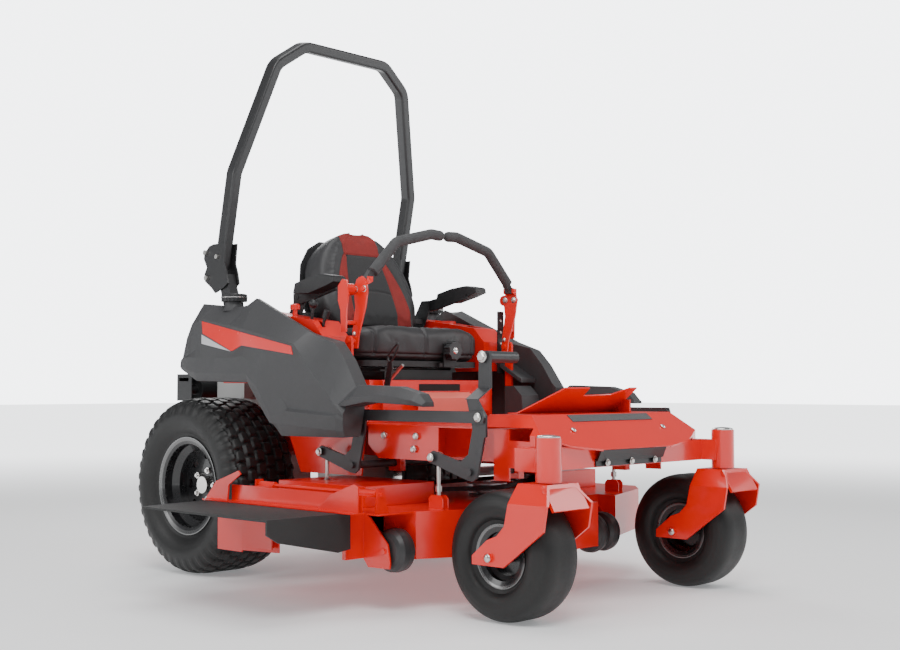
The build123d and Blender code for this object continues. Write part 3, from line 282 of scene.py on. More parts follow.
def torusGrid(name, rings):
    # as closedGrid, but the path closes too, so there are no caps
    index = np.arange(rings.shape[0] * rings.shape[1]).reshape(rings.shape[:2])
    follow = np.roll(index, -1, axis=1)
    nextRing = np.roll(index, -1, axis=0)
    corner = np.roll(nextRing, -1, axis=1)
    faces = np.stack([index, follow, corner, nextRing], axis=-1).reshape(-1, 4)
    return meshPiece(name, rings.reshape(-1, 3), faces.tolist())


def meshPiece(name, points, faces):
    mesh = bpy.data.meshes.new(name)
    mesh.from_pydata(np.asarray(points, float).tolist(), [], faces)
    work = bmesh.new()
    work.from_mesh(mesh)
    bmesh.ops.remove_doubles(work, verts=work.verts, dist=1e-6)
    bmesh.ops.recalc_face_normals(work, faces=work.faces)
    work.to_mesh(mesh)
    work.free()
    piece = bpy.data.objects.new(name, mesh)
    bpy.context.scene.collection.objects.link(piece)
    return piece


def dress(piece, body, material, smooth=35.0, replaces=()):
    piece.data.materials.clear()
    piece.data.materials.append(material)
    piece.data.polygons.foreach_set("use_smooth", np.ones(len(piece.data.polygons), bool))
    piece.data.set_sharp_from_angle(angle=math.radians(smooth))
    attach(piece, body)
    if replaces:
        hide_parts(*replaces)
    return piece


def bevelled(piece, width, segments=2, angle=28.0):
    bevel = piece.modifiers.new("edges", "BEVEL")
    bevel.width, bevel.segments = width, segments
    bevel.limit_method, bevel.angle_limit = "ANGLE", math.radians(angle)
    bevel.harden_normals = True
    bevel.use_clamp_overlap = True
    return piece


def softened(node, material, width, segments=2):
    # a copy of a plate or moulding whose hard corners are rounded over
    mesh = nodes[node].data.copy()
    work = bmesh.new()
    work.from_mesh(mesh)
    bmesh.ops.remove_doubles(work, verts=work.verts, dist=2e-5)
    bmesh.ops.dissolve_limit(work, angle_limit=math.radians(1.0), verts=work.verts, edges=work.edges)
    work.to_mesh(mesh)
    work.free()
    piece = bpy.data.objects.new(node + "-formed", mesh)
    bpy.context.scene.collection.objects.link(piece)
    dress(piece, bodyOf[node], material, 32.0, (node,))
    return bevelled(piece, width, segments)


def painted(node, material):
    nodes[node].data.materials.clear()
    nodes[node].data.materials.append(material)


def extruded(name, outline, low, high, axis="y"):
    # a flat outline of (a, b) points carried from low to high along an axis
    ring = np.array(outline, float)
    rings = []
    for level in (low, high):
        flat = np.full(len(ring), level)
        columns = {"y": (ring[:, 0], flat, ring[:, 1]), "x": (flat, ring[:, 0], ring[:, 1]),
                   "z": (ring[:, 0], ring[:, 1], flat)}[axis]
        rings.append(np.stack(columns, axis=-1) + shift)
    return closedGrid(name, np.array(rings))


def lathe(name, profile, centre, axis="z", count=40):
    # an outline of (height, radius) points turned about an axis through the centre
    turn = np.linspace(0, 2 * np.pi, count, endpoint=False)[:, None]
    height, radius = (np.array(profile, float)[None, :, column] for column in (0, 1))
    across, up = radius * np.cos(turn), radius * np.sin(turn)
    level = np.broadcast_to(height, across.shape)
    stacked = {"z": (across, up, level), "y": (across, level, up), "x": (level, across, up)}[axis]
    return torusGrid(name, np.stack(stacked, axis=-1) + np.array(centre))


def joined(name, pieces):
    bpy.ops.object.select_all(action="DESELECT")
    for piece in pieces:
        piece.select_set(True)
    bpy.context.view_layer.objects.active = pieces[0]
    bpy.ops.object.join()
    pieces[0].name = name
    pieces[0].data.name = name
    return pieces[0]


def tube(name, path, radius, count=16):
    # a circle carried along a smooth path of points
    path = np.array(path, float)
    tangent = np.gradient(path, axis=0)
    tangent /= np.linalg.norm(tangent, axis=1, keepdims=True)
    guide = np.array([0.0, 0.0, 1.0]) if abs(tangent[:, 2]).max() < 0.9 else np.array([1.0, 0.0, 0.0])
    side = np.cross(tangent, guide)
    side /= np.linalg.norm(side, axis=1, keepdims=True)
    up = np.cross(side, tangent)
    turn = np.linspace(0, 2 * np.pi, count, endpoint=False)
    ring = np.cos(turn)[None, :, None] * side[:, None] + np.sin(turn)[None, :, None] * up[:, None]
    return closedGrid(name, path[:, None] + np.reshape(radius, (-1, 1, 1)) * ring)


def rounded(points, rounds=3, closed=False):
    # cuts each corner to its quarter points, over and over, until the line is smooth
    points = np.array(points, float)
    for _ in range(rounds):
        after = np.roll(points, -1, axis=0)
        pairs = np.stack([0.75 * points + 0.25 * after, 0.25 * points + 0.75 * after], axis=1)
        cut = pairs.reshape(-1, points.shape[1])
        points = cut if closed else np.concatenate([points[:1], cut[:-2], points[-1:]])
    return points


# ---------- floor, lights and camera ----------
viewLook = {"camera": (3.698, -3.129, 0.6426), "azimuth": 43.61, "elevation": -2.77, "lens": 51.04,
            "floor": 0.86,
            "ambient": 0.30, "backdrop": 5.0, "fade": (3.2, 9.0)}


def buildStage():
    floorFinish = Finish("paleFloor")
    floorFinish.feed("Base Color", (viewLook["floor"],) * 3)
    floorFinish.feed("Roughness", 0.80)
    x, y, z = floorFinish.axes()
    away = (x.maths("SQRT", x * x + y * y)).step(*viewLook["fade"])   # the floor brightens into the backdrop
    # painted light: the floor glows, faintly near the mower and brightly far off, so that it brightens into the
    # backdrop
    floorFinish.feed("Emission Color", floorFinish.blend(away, (0.24, 0.245, 0.25), (2.6, 2.65, 2.7)))
    floorFinish.feed("Emission Strength", 1.0)
    floor = meshPiece("floor", [(-40, -40, -0.001), (40, -40, -0.001), (40, 40, -0.001), (-40, 40, -0.001)],
                      [[0, 1, 2, 3]])
    floor.data.materials.append(floorFinish.material)
    world = bpy.data.worlds.new("studio")
    bpy.context.scene.world = world
    world.use_nodes = True
    seen = Wire(world.node_tree, world.node_tree.nodes.new("ShaderNodeLightPath").outputs["Is Camera Ray"])
    background = world.node_tree.nodes["Background"]
    background.inputs["Color"].default_value = (0.95, 0.97, 1.0, 1.0)
    world.node_tree.links.new((seen * viewLook["backdrop"] + viewLook["ambient"]).socket,
                              background.inputs["Strength"])
    for name, spot, target, size, power in (
            ("keyLight", (3.2, -2.6, 4.2), (0.3, -0.2, 0.5), 2.6, 150),
                                            ("topLight", (0.4, 0.2, 5.2), (0.4, 0.1, 0.4), 3.6, 125),
            ("sideLight", (-1.6, -4.6, 2.6), (0.2, -0.3, 0.5), 2.2, 75),
                                            ("backLight", (-3.6, 2.8, 3.6), (0.2, 0, 0.8), 2.4, 90),
            ("leftLight", (3.6, 3.4, 2.8), (0.8, 0.2, 0.5), 2.2, 60)):
        lamp = bpy.data.lights.new(name, "AREA")
        lamp.shape, lamp.size, lamp.energy = "DISK", size, power
        light = bpy.data.objects.new(name, lamp)
        bpy.context.scene.collection.objects.link(light)
        light.location = Vector(place(*spot))
        light.rotation_mode = "QUATERNION"
        light.rotation_quaternion = (Vector(place(*target)) - light.location).to_track_quat("-Z", "Y")
    camera = bpy.data.objects.new("camera", bpy.data.cameras.new("camera"))
    bpy.context.scene.collection.objects.link(camera)
    bpy.context.scene.camera = camera
    turn, rise = math.radians(viewLook["azimuth"]), math.radians(viewLook["elevation"])
    back = Vector((math.sin(turn) * math.cos(rise), -math.cos(turn) * math.cos(rise), math.sin(rise)))
    camera.location = Vector(place(*viewLook["camera"]))
    camera.rotation_mode = "QUATERNION"
    camera.rotation_quaternion = (-back).to_track_quat("-Z", "Y")
    camera.data.lens, camera.data.sensor_width = viewLook["lens"], 36.0
    camera.data.clip_end = 200.0


buildStage()
print("stage ready")

# ---------- finishes of the plain nodes, and plates with rounded edges ----------
formed = {
    "hood": (red, 0.004, 3), "front_beam": (red, 0.003, 2), "caster_fork_left": (red, 0.0028, 2),
    "caster_fork_right": (red, 0.0028, 2), "foot_rest": (red, 0.0012, 2), "deck_shell": (red, 0.0018, 2),
    "belt_covers": (red, 0.0015, 2), "chute_frame": (red, 0.0012, 2), "main_frame": (red, 0.0015, 2),
    "seat_base": (red, 0.0015, 2), "console_right": (red, 0.004, 3), "console_left": (red, 0.004, 3),
    "lever_bracket_left": (red, 0.0016, 2), "lever_bracket_right": (red, 0.0016, 2),
    "lift_crank_front": (greyPaint, 0.0018, 2), "lift_crank_rear": (greyPaint, 0.0018, 2),
    "lift_link": (greyPaint, 0.0018, 2), "hood_trim": (blackPaint, 0.001, 2),
          "rops_posts": (blackPaint, 0.002, 2),
    "engine_cover": (blackPlastic, 0.006, 3), "engine_block": (aluminium, 0.003, 2),
          "muffler": (blackPaint, 0.001, 2),
    "transaxles": (aluminium, 0.004, 2), "seat_pan": (blackPlastic, 0.002, 2),
          "chute_plate": (chuteRubber, 0.002, 2),
    "armrest_left": (blackPlastic, 0.006, 3), "armrest_right": (blackPlastic, 0.006, 3),
}
plain = {
    "rops_hoop": blackPaint, "fuel_cap_left": blackPlastic, "fuel_cap_right": blackPlastic,
         "seat_knob": greyPaint,
    "seat_suspension": blackPaint, "control_lever_left": grip, "control_lever_right": grip,
         "frame_bolts": zinc,
    "hanger_rods": zinc, "spindle_housings": aluminium, "blade_left": bladeSteel, "blade_centre": bladeSteel,
    "blade_right": bladeSteel, "deck_belt": beltRubber, "roller_left": rollerPlastic,
         "roller_right": rollerPlastic,
    "throttle_lever": blackPlastic, "pto_knob": red, "park_brake_lever": blackPlastic,
    "drive_hub_left": domeSteel, "drive_hub_right": domeSteel,
}
for node, (material, width, segments) in formed.items():
    softened(node, material, width, segments)
for node, material in plain.items():
    painted(node, material)
print("sheet metal ready")

# ---------- wheels ----------
driveLook = {"radius": 0.302, "width": 0.288, "bead": 0.1485, "flange": 0.168, "beadHalf": 0.109,
             "shoulder": 0.042,
             "wall": 0.014, "rows": 6, "tread": 0.232, "lugs": 40, "depth": 0.0085, "perLug": 12,
             "across": 132}
casterLook = {"radius": 0.180, "width": 0.164, "bead": 0.0705, "flange": 0.089, "beadHalf": 0.049,
              "shoulder": 0.034, "wall": 0.011,
              "across": 120}


def carcassSection(look):
    # bead, sidewall bulge, shoulder and crown on each side, with the corners rounded off
    half, radius, flange = look["width"] / 2, look["radius"], look["flange"]
    rise = radius - flange
    outer = [(-look["beadHalf"], look["bead"]), (-look["beadHalf"] - 0.002, flange + 0.004),
             (-half * 0.93, flange + rise * 0.20),
             (-half * 1.02, flange + rise * 0.46), (-half * 0.97, radius - look["shoulder"] * 0.85),
             (-half * 0.84, radius - look["shoulder"] * 0.22), (-half * 0.5, radius + 0.001), (0, radius)]
    outer += [(-offset, height) for offset, height in outer[-2::-1]]
    smooth = rounded(outer, 3)
    step = np.concatenate([[0], np.cumsum(np.hypot(*np.diff(smooth, axis=0).T))])
    even = np.linspace(0, step[-1], look["across"])
    return np.stack([np.interp(even, step, smooth[:, column]) for column in (0, 1)], axis=-1)


def buildTyre(name, look, centre, material, node, lugs):
    # the section carried round the axle; each lug row is cut by grooves that curve across the tread
    section = carcassSection(look)
    inner = np.stack([section[::-10, 0] * (1 - look["wall"] / (look["width"] / 2)),
                      np.maximum(section[::-10, 1] - look["wall"], look["bead"])], axis=-1)
    count = look["lugs"] * look["perLug"] if lugs else 160
    turn = np.linspace(0, 2 * np.pi, count, endpoint=False)[:, None]
    offset, radius = section[:, 0][None, :], section[:, 1][None, :]
    cut = np.zeros((count, len(section)))
    if lugs:
        pitch = look["tread"] / look["rows"]
        row = np.floor(offset / pitch + look["rows"] / 2)
        across = ((offset / pitch + look["rows"] / 2) % 1.0) * 2 - 1
        along = turn / (2 * np.pi) * look["lugs"] + 0.5 * (row % 2) + 0.14 * across ** 2 * np.sign(offset
                                                                                                   + 1e-9)
        along = (along % 1.0) * 2 - 1
        inside = (np.abs(across) ** 5 + np.abs(along) ** 5) ** 0.2
        block = np.clip((0.90 - inside) / 0.16, 0, 1)
        shoulderBar = np.clip((0.62 - np.abs(((turn / (2 * np.pi) * look["lugs"]) % 1.0) * 2 - 1)) / 0.3, 0,
                              1)
        onTread = np.abs(offset) < look["tread"] / 2
        low = look["radius"] - 0.062
        fade = np.clip((radius - low) / 0.02, 0, 1)
        cut = np.where(onTread, 1 - block * block * (3 - 2 * block),
                       (1 - shoulderBar) * fade * 0.7) * look["depth"]
    outerRadius = radius - cut
    allOffset = np.concatenate([np.broadcast_to(offset, cut.shape),
                                np.broadcast_to(inner[:, 0], (count, len(inner)))], axis=1)
    allRadius = np.concatenate([outerRadius, np.broadcast_to(inner[:, 1], (count, len(inner)))], axis=1)
    rings = np.stack([allRadius * np.sin(turn), allOffset, allRadius * np.cos(turn)],
                     axis=-1) + np.array(centre)
    piece = torusGrid(name, rings)
    return dress(piece, bodyOf[node], material, 60.0, (node,))


for side, sign in sideSign.items():
    driveCentre = axle[side]
    buildTyre("driveTread-" + side, driveLook, driveCentre,
              tyreRubber("driveRubber-" + side, driveCentre, 260.0),
              "drive_tyre_" + side, True)
    casterCentre = np.array(joints["caster_spin_" + side]["pos_m"])
    buildTyre("casterCarcass-" + side, casterLook, casterCentre,
              tyreRubber("casterRubber-" + side, casterCentre, 420.0),
              "caster_tyre_" + side, False)
    painted("drive_rim_" + side, rimPaint("driveRimPaint-" + side, driveCentre, 0.168, 0.016))
    painted("caster_rim_" + side, rimPaint("casterRimPaint-" + side, casterCentre, 0.089, 0.010))
print("wheels ready")

# ---------- fenders ----------
# each crease is a line of (x, distance from the centre line, z) points;
# the skin is straight between neighbouring creases
fenderCreases = {
    "innerTop": [(-0.044, 0.465, 0.846), (-0.024, 0.465, 0.930), (0.196, 0.465, 0.911),
                 (0.230, 0.458, 0.928), (0.258, 0.453, 0.942),
                 (0.556, 0.452, 0.812), (0.690, 0.452, 0.784), (0.745, 0.452, 0.726), (0.792, 0.454, 0.656),
                 (0.806, 0.458, 0.640)],
    "ridge": [(-0.044, 0.500, 0.838), (0.005, 0.500, 0.932), (0.240, 0.500, 0.910), (0.304, 0.500, 0.938),
              (0.599, 0.500, 0.809),
              (0.700, 0.498, 0.776), (0.750, 0.502, 0.722), (0.806, 0.506, 0.640)],
    "shoulder": [(-0.044, 0.535, 0.812), (0.003, 0.548, 0.858), (0.079, 0.560, 0.874),
                 (0.263, 0.562, 0.842), (0.573, 0.564, 0.778),
                 (0.656, 0.566, 0.698), (0.770, 0.568, 0.590), (0.806, 0.562, 0.560)],
    "stripeFoot": [(-0.044, 0.552, 0.742), (-0.002, 0.560, 0.752), (0.086, 0.566, 0.781),
                   (0.258, 0.567, 0.752), (0.300, 0.560, 0.774),
                   (0.452, 0.562, 0.752), (0.573, 0.563, 0.736), (0.656, 0.565, 0.684),
                   (0.770, 0.568, 0.580), (0.806, 0.562, 0.552)],
    "belt": [(-0.044, 0.560, 0.734), (-0.002, 0.569, 0.744), (0.273, 0.572, 0.738), (0.321, 0.572, 0.744),
             (0.407, 0.572, 0.700),
             (0.435, 0.566, 0.690), (0.544, 0.562, 0.576), (0.782, 0.566, 0.560), (0.806, 0.560, 0.548)],
    "lip": [(-0.044, 0.562, 0.712), (0.057, 0.571, 0.690), (0.341, 0.572, 0.684), (0.400, 0.572, 0.640),
            (0.470, 0.572, 0.548),
            (0.544, 0.572, 0.566), (0.782, 0.571, 0.552), (0.806, 0.562, 0.540)],
    "skirt": [(-0.044, 0.556, 0.703), (0.057, 0.564, 0.663), (0.341, 0.566, 0.658), (0.420, 0.568, 0.572),
              (0.464, 0.570, 0.527),
              (0.782, 0.570, 0.510), (0.806, 0.560, 0.508)],
    "edge": [(-0.044, 0.548, 0.702), (0.057, 0.552, 0.661), (0.341, 0.556, 0.656), (0.420, 0.560, 0.570),
             (0.513, 0.560, 0.487),
             (0.790, 0.562, 0.489), (0.806, 0.552, 0.489)],
    "innerEdge": [(-0.044, 0.468, 0.704), (0.057, 0.468, 0.661), (0.341, 0.470, 0.656),
                  (0.420, 0.478, 0.570), (0.513, 0.478, 0.487),
                  (0.724, 0.479, 0.490), (0.790, 0.484, 0.490), (0.806, 0.490, 0.492)],
}
podCreases = {
    "innerTop": [(0.770, 0.484, 0.600), (0.842, 0.492, 0.648), (1.016, 0.494, 0.643), (1.100, 0.490, 0.622),
                 (1.122, 0.492, 0.598)],
    "top": [(0.770, 0.530, 0.604), (0.842, 0.532, 0.648), (1.016, 0.530, 0.643), (1.100, 0.528, 0.622),
            (1.122, 0.524, 0.598)],
    "side": [(0.770, 0.560, 0.586), (0.842, 0.562, 0.610), (0.960, 0.562, 0.620), (1.090, 0.556, 0.604),
             (1.122, 0.542, 0.590)],
    "foot": [(0.770, 0.558, 0.584), (0.811, 0.560, 0.583), (0.902, 0.560, 0.597), (1.068, 0.552, 0.590),
             (1.122, 0.538, 0.5845)],
    "innerFoot": [(0.770, 0.480, 0.590), (0.811, 0.480, 0.583), (0.902, 0.480, 0.597),
                  (1.068, 0.482, 0.590), (1.122, 0.490, 0.5845)],
}


def creasedSkin(name, creases, sign):
    # stations are every crease's corners plus even steps; each crease is read at each station
    lines = [np.array(points) for points in creases.values()]
    low, high = lines[0][0, 0], lines[0][-1, 0]
    corners = np.concatenate([line[:, 0] for line in lines] + [np.linspace(low, high, 40)])
    stations = np.unique(np.round(np.clip(corners, low, high), 3))
    rings = np.stack([np.stack([stations, sign * np.interp(stations, line[:, 0], line[:, 1]),
                                np.interp(stations, line[:, 0], line[:, 2])], axis=-1) for line in lines],
                     axis=1)
    return closedGrid(name, rings + shift)


stripeLook = {"proud": 0.0015,
              "red": [(0.082, 0.866), (0.567, 0.770), (0.571, 0.744), (0.302, 0.779), (0.259, 0.760),
                      (0.085, 0.826)],
              "silver": [(0.085, 0.820), (0.088, 0.789), (0.252, 0.760)]}


def fenderDepth(x, z):
    # distance of the fender's side from the centre line, between its shoulder and stripe-foot creases
    upper, lower = np.array(fenderCreases["shoulder"]), np.array(fenderCreases["stripeFoot"])
    topZ, footZ = np.interp(x, upper[:, 0], upper[:, 2]), np.interp(x, lower[:, 0], lower[:, 2])
    share = np.clip((z - footZ) / np.maximum(topZ - footZ, 1e-4), 0, 1)
    return np.interp(x, lower[:, 0], lower[:, 1]) * (1 - share) + np.interp(x, upper[:, 0],
                                                                            upper[:, 1]) * share


def decal(name, outline, sign):
    # an outline laid on the fender's side: top and bottom edges read at even steps,
    # so that it follows the skin
    ring = np.array(outline, float)
    edges = np.concatenate([np.linspace(ring[i], ring[(i + 1) % len(ring)], 30, endpoint=False)
                            for i in range(len(ring))])
    stations = np.linspace(ring[:, 0].min() + 1e-4, ring[:, 0].max() - 1e-4, 60)
    top, foot = np.empty(60), np.empty(60)
    for index, x in enumerate(stations):
        near = edges[np.abs(edges[:, 0] - x) < 0.012]
        crossings = []
        for start, end in zip(ring, np.roll(ring, -1, axis=0)):
            if (start[0] - x) * (end[0] - x) < 0:
                crossings.append(start[1] + (end[1] - start[1]) * (x - start[0]) / (end[0] - start[0]))
        top[index], foot[index] = (max(crossings),
                                   min(crossings)) if len(crossings) > 1 else (near[:, 1].max(),
                                                                               near[:, 1].min())
    levels = np.linspace(0, 1, 6)[:, None]
    z = foot * (1 - levels) + top * levels
    x = np.broadcast_to(stations, z.shape)
    depth = fenderDepth(x, z)
    skins = [np.stack([x, sign * (depth + lift), z], axis=-1) for lift in (-0.001, stripeLook["proud"])]
    ring = np.concatenate([skins[0], skins[1][::-1]], axis=0).transpose(1, 0, 2)
    return closedGrid(name, ring + shift)


def plastic(name, colour, rough, coat):
    finish = Finish(name, coat=coat)
    film = finish.noise(5.0, 4.0)
    finish.feed("Base Color", finish.blend(film, shade(colour, 0.9), shade(colour, 1.08)))
    finish.feed("Roughness", rough + finish.noise(40.0, 5.0) * 0.08)
    finish.bump(finish.noise(300.0, 2.0), 0.05, 0.0004)
    return finish.material


stripeRed = plastic("stripeRed", (0.78, 0.018, 0.014), 0.22, 0.6)
stripeSilver = plastic("stripeSilver", (0.55, 0.55, 0.56), 0.28, 0.5)
capLook = {"x": 0.159, "y": 0.484}
for side, sign in sideSign.items():
    shell = creasedSkin("fenderSkin-" + side, fenderCreases, sign)
    pod = creasedSkin("fenderPod-" + side, podCreases, sign)
    neck = lathe("fillerNeck-" + side,
                 [(0.900, 0.026), (0.931, 0.026), (0.931, 0.031), (0.912, 0.033), (0.900, 0.040)],
                 place(capLook["x"], sign * capLook["y"], 0.0))
    dress(bevelled(shell, 0.0035, 2, 9.0), "chassis", fenderPlastic, 9.0,
          ("fender_" + side,))
    dress(bevelled(pod, 0.005, 3, 9.0), "chassis", fenderPlastic, 9.0)
    dress(neck, "chassis", fenderPlastic, 40.0)
    dress(decal("stripeFilm-" + side, stripeLook["red"], sign), "chassis", stripeRed, 40.0)
    dress(decal("stripeCorner-" + side, stripeLook["silver"], sign), "chassis", stripeSilver,
          40.0)
    ring = lathe("capRing-" + side, [(0.941, 0.040), (0.945, 0.0452), (0.949, 0.0452), (0.949, 0.040)],
                 place(capLook["x"], sign * capLook["y"], 0.0), count=64)
    dress(ring, "fuel_cap_" + side, domeSteel, 40.0)
print("fenders ready")

# ---------- seat ----------
backLook = {"foot": (0.377, 0.0, 0.858), "lean": 20.0, "half": 0.236, "rise": 0.378, "thick": 0.128,
            "stripe": (0.104, 0.166),
            "panel": 0.086, "panelFoot": 1.118, "seam": 0.988}
cushionLook = {"rear": 0.232, "front": 0.612, "half": 0.304, "low": 0.735, "high": 0.838,
               "seams": (-0.237, 0.0, 0.237)}


clothLook = {"pressure": 4.0, "frames": 20, "quality": 5, "stretch": 12.0, "fold": 0.6, "smooth": 0.5,
             "rounds": 18}


def puffed(piece, voxel, cap):
    # remesh to even cells, fill with pressure, limit how far each point moves, then smooth once
    remesh = piece.modifiers.new("cells", "REMESH")
    remesh.mode, remesh.voxel_size = "VOXEL", voxel
    even = piece.modifiers.new("even", "SMOOTH")
    even.factor, even.iterations = clothLook["smooth"], clothLook["rounds"]
    applied(piece)
    mesh = piece.data
    rest = np.empty(len(mesh.vertices) * 3)
    mesh.vertices.foreach_get("co", rest)
    cloth = piece.modifiers.new("fill", "CLOTH")
    cloth.settings.use_pressure, cloth.settings.uniform_pressure_force = True, clothLook["pressure"]
    cloth.settings.effector_weights.gravity = 0.0
    cloth.settings.quality = clothLook["quality"]
    cloth.settings.tension_stiffness = cloth.settings.compression_stiffness = clothLook["stretch"]
    cloth.settings.bending_stiffness = clothLook["fold"]
    cloth.collision_settings.use_collision = False
    for step in range(1, clothLook["frames"] + 1):
        bpy.context.scene.frame_set(step)
    filled = piece.evaluated_get(bpy.context.evaluated_depsgraph_get()).to_mesh()
    moved = np.empty(len(filled.vertices) * 3)
    filled.vertices.foreach_get("co", moved)
    piece.modifiers.remove(cloth)
    bpy.context.scene.frame_set(1)
    travel = (moved - rest).reshape(-1, 3)
    length = np.linalg.norm(travel, axis=1, keepdims=True)
    rest = (rest.reshape(-1, 3) + travel * np.minimum(1, cap / np.maximum(length, 1e-9))).ravel()
    mesh.vertices.foreach_set("co", rest)
    mesh.update()
    smooth = piece.modifiers.new("smooth", "SUBSURF")
    smooth.levels = smooth.render_levels = 1
    applied(piece)
    return piece


def applied(piece):
    # turns the modified shape into the piece's own mesh
    finished = bpy.data.meshes.new_from_object(piece.evaluated_get(bpy.context.evaluated_depsgraph_get()))
    piece.modifiers.clear()
    piece.data = finished


def reshaped(piece, change):
    # moves every point of a finished mesh by a function of its place and its outward direction
    mesh = piece.data
    points, normals = np.empty(len(mesh.vertices) * 3), np.empty(len(mesh.vertices) * 3)
    mesh.vertices.foreach_get("co", points)
    mesh.vertex_normals.foreach_get("vector", normals)
    points, normals = points.reshape(-1, 3), normals.reshape(-1, 3)
    points = points + normals * change(points - shift)[:, None]
    mesh.vertices.foreach_set("co", points.ravel())
    mesh.update()
    return piece


def squared(value, power):  # a sine or cosine pushed out towards a square corner
    return np.sign(value) * np.abs(value) ** power


def groove(distance, depth, width):  # a rounded channel, deepest at distance 0
    return -depth * np.exp(-(distance / width) ** 2)


def buildBack():
    # rings of rounded rectangles up a leaning plane; the width follows a dome, and side bolsters stand proud
    rise = np.linspace(0.0, 1.0, 46)
    rise = np.concatenate([rise[:-1], [0.985, 0.995, 1.0]])
    dome = np.clip(1 - np.clip((rise - 0.30) / 0.708, 0, 1) ** 2.3, 0.02, 1) ** 0.5
    half = backLook["half"] * dome * (1 - 0.22 * np.clip(1 - rise / 0.28, 0, 1) ** 2)
    thick = backLook["thick"] * (1 - 0.45 * np.clip((rise - 0.7) / 0.3, 0, 1) ** 2)
    thick = thick * (1 - 0.25 * np.clip(1 - rise / 0.08, 0, 1) ** 2)
    turn = np.linspace(0, 2 * np.pi, 96, endpoint=False)
    y = half[:, None] * squared(np.cos(turn), 0.42)[None, :]
    depth = thick[:, None] / 2 * (squared(np.sin(turn), 0.5)[None, :] - 1)
    share = np.abs(y) / np.maximum(half[:, None], 1e-4)
    front = np.clip(np.sin(turn) * 3, 0, 1)[None, :]
    depth = depth + front * (0.012 * np.clip((share - 0.55) / 0.25, 0, 1) - 0.008
                             * np.cos(share * np.pi / 2) - 0.004)
    lean = math.radians(backLook["lean"])
    up = np.array([-math.sin(lean), 0, math.cos(lean)])
    out = np.array([math.cos(lean), 0, math.sin(lean)])
    points = (place(*backLook["foot"]) + (rise * backLook["rise"])[:, None, None] * up + depth[:, :, None]
              * out
              + y[:, :, None] * np.array([0.0, 1.0, 0.0]))
    piece = puffed(closedGrid("seatBackCover", points), 0.006, 0.007)

    def seams(point):
        inner, outer = stripeEdges(point[:, 2])
        across = np.abs(point[:, 1])
        above = point[:, 2] > backLook["panelFoot"]
        facing = point[:, 0] > backLook["foot"][0] - 0.055 - (point[:, 2] - 0.858) * 0.364
        cut = groove(across - inner, 0.004, 0.004) * ~above + groove(across - outer, 0.004, 0.004) * ~above
        cut += groove(across - backLook["panel"], 0.004, 0.004) * above
        cut += groove(point[:, 2] - backLook["panelFoot"], 0.004, 0.004) * (across < outer)
        cut += groove(point[:, 2] - backLook["seam"] + 0.9 * across ** 2, 0.003, 0.004) * (across < inner)
        return cut * facing
    return reshaped(piece, seams)


def stripeEdges(height):
    # the red side stripes draw in towards the head panel
    share = (height - 0.90) / 0.22
    share = np.clip(share, 0, 1)
    return backLook["stripe"][0] - 0.030 * share ** 2, backLook["stripe"][1] - 0.075 * share ** 2


def buildCushion():
    # rings of rounded rectangles from the underside to the top;
    # the plan is full at the belt and draws in at both ends
    level = np.linspace(0, 1, 26)
    middleX = (cushionLook["rear"] + cushionLook["front"]) / 2
    halfX = (cushionLook["front"] - cushionLook["rear"]) / 2
    turn = np.linspace(0, 2 * np.pi, 140, endpoint=False)
    draw = (1 - np.abs(level * 2 - 1) ** 5 * 0.10)[:, None]
    x = middleX + halfX * draw * squared(np.cos(turn), 0.36)[None, :]
    y = cushionLook["half"] * draw * squared(np.sin(turn), 0.30)[None, :]
    high = np.where(x < 0.388, 0.816, cushionLook["high"])
    bolster = 0.007 * (1 - np.cos(np.abs(y) / 0.304 * 2 * np.pi)) * (x > 0.392)
    z = cushionLook["low"] + level[:, None] * (high + bolster - cushionLook["low"])
    piece = puffed(closedGrid("seatCushionCover", np.stack([x, y, z], axis=-1) + shift), 0.006, 0.006)

    def seams(point):
        cut = sum(groove(point[:, 1] - seam, 0.006, 0.006) for seam in cushionLook["seams"])
        cut = cut * (point[:, 2] > 0.745)
        cut += groove(point[:, 2] - 0.752, 0.004, 0.004)
        pull = 0.0022 * np.sin(point[:, 1] * 61 + point[:, 2] * 19) * np.sin(point[:, 1] * 23 - point[:, 0]
                                                                             * 31)
        return cut + pull * np.exp(-((point[:, 2] - 0.79) / 0.03) ** 2)
    return reshaped(piece, seams)


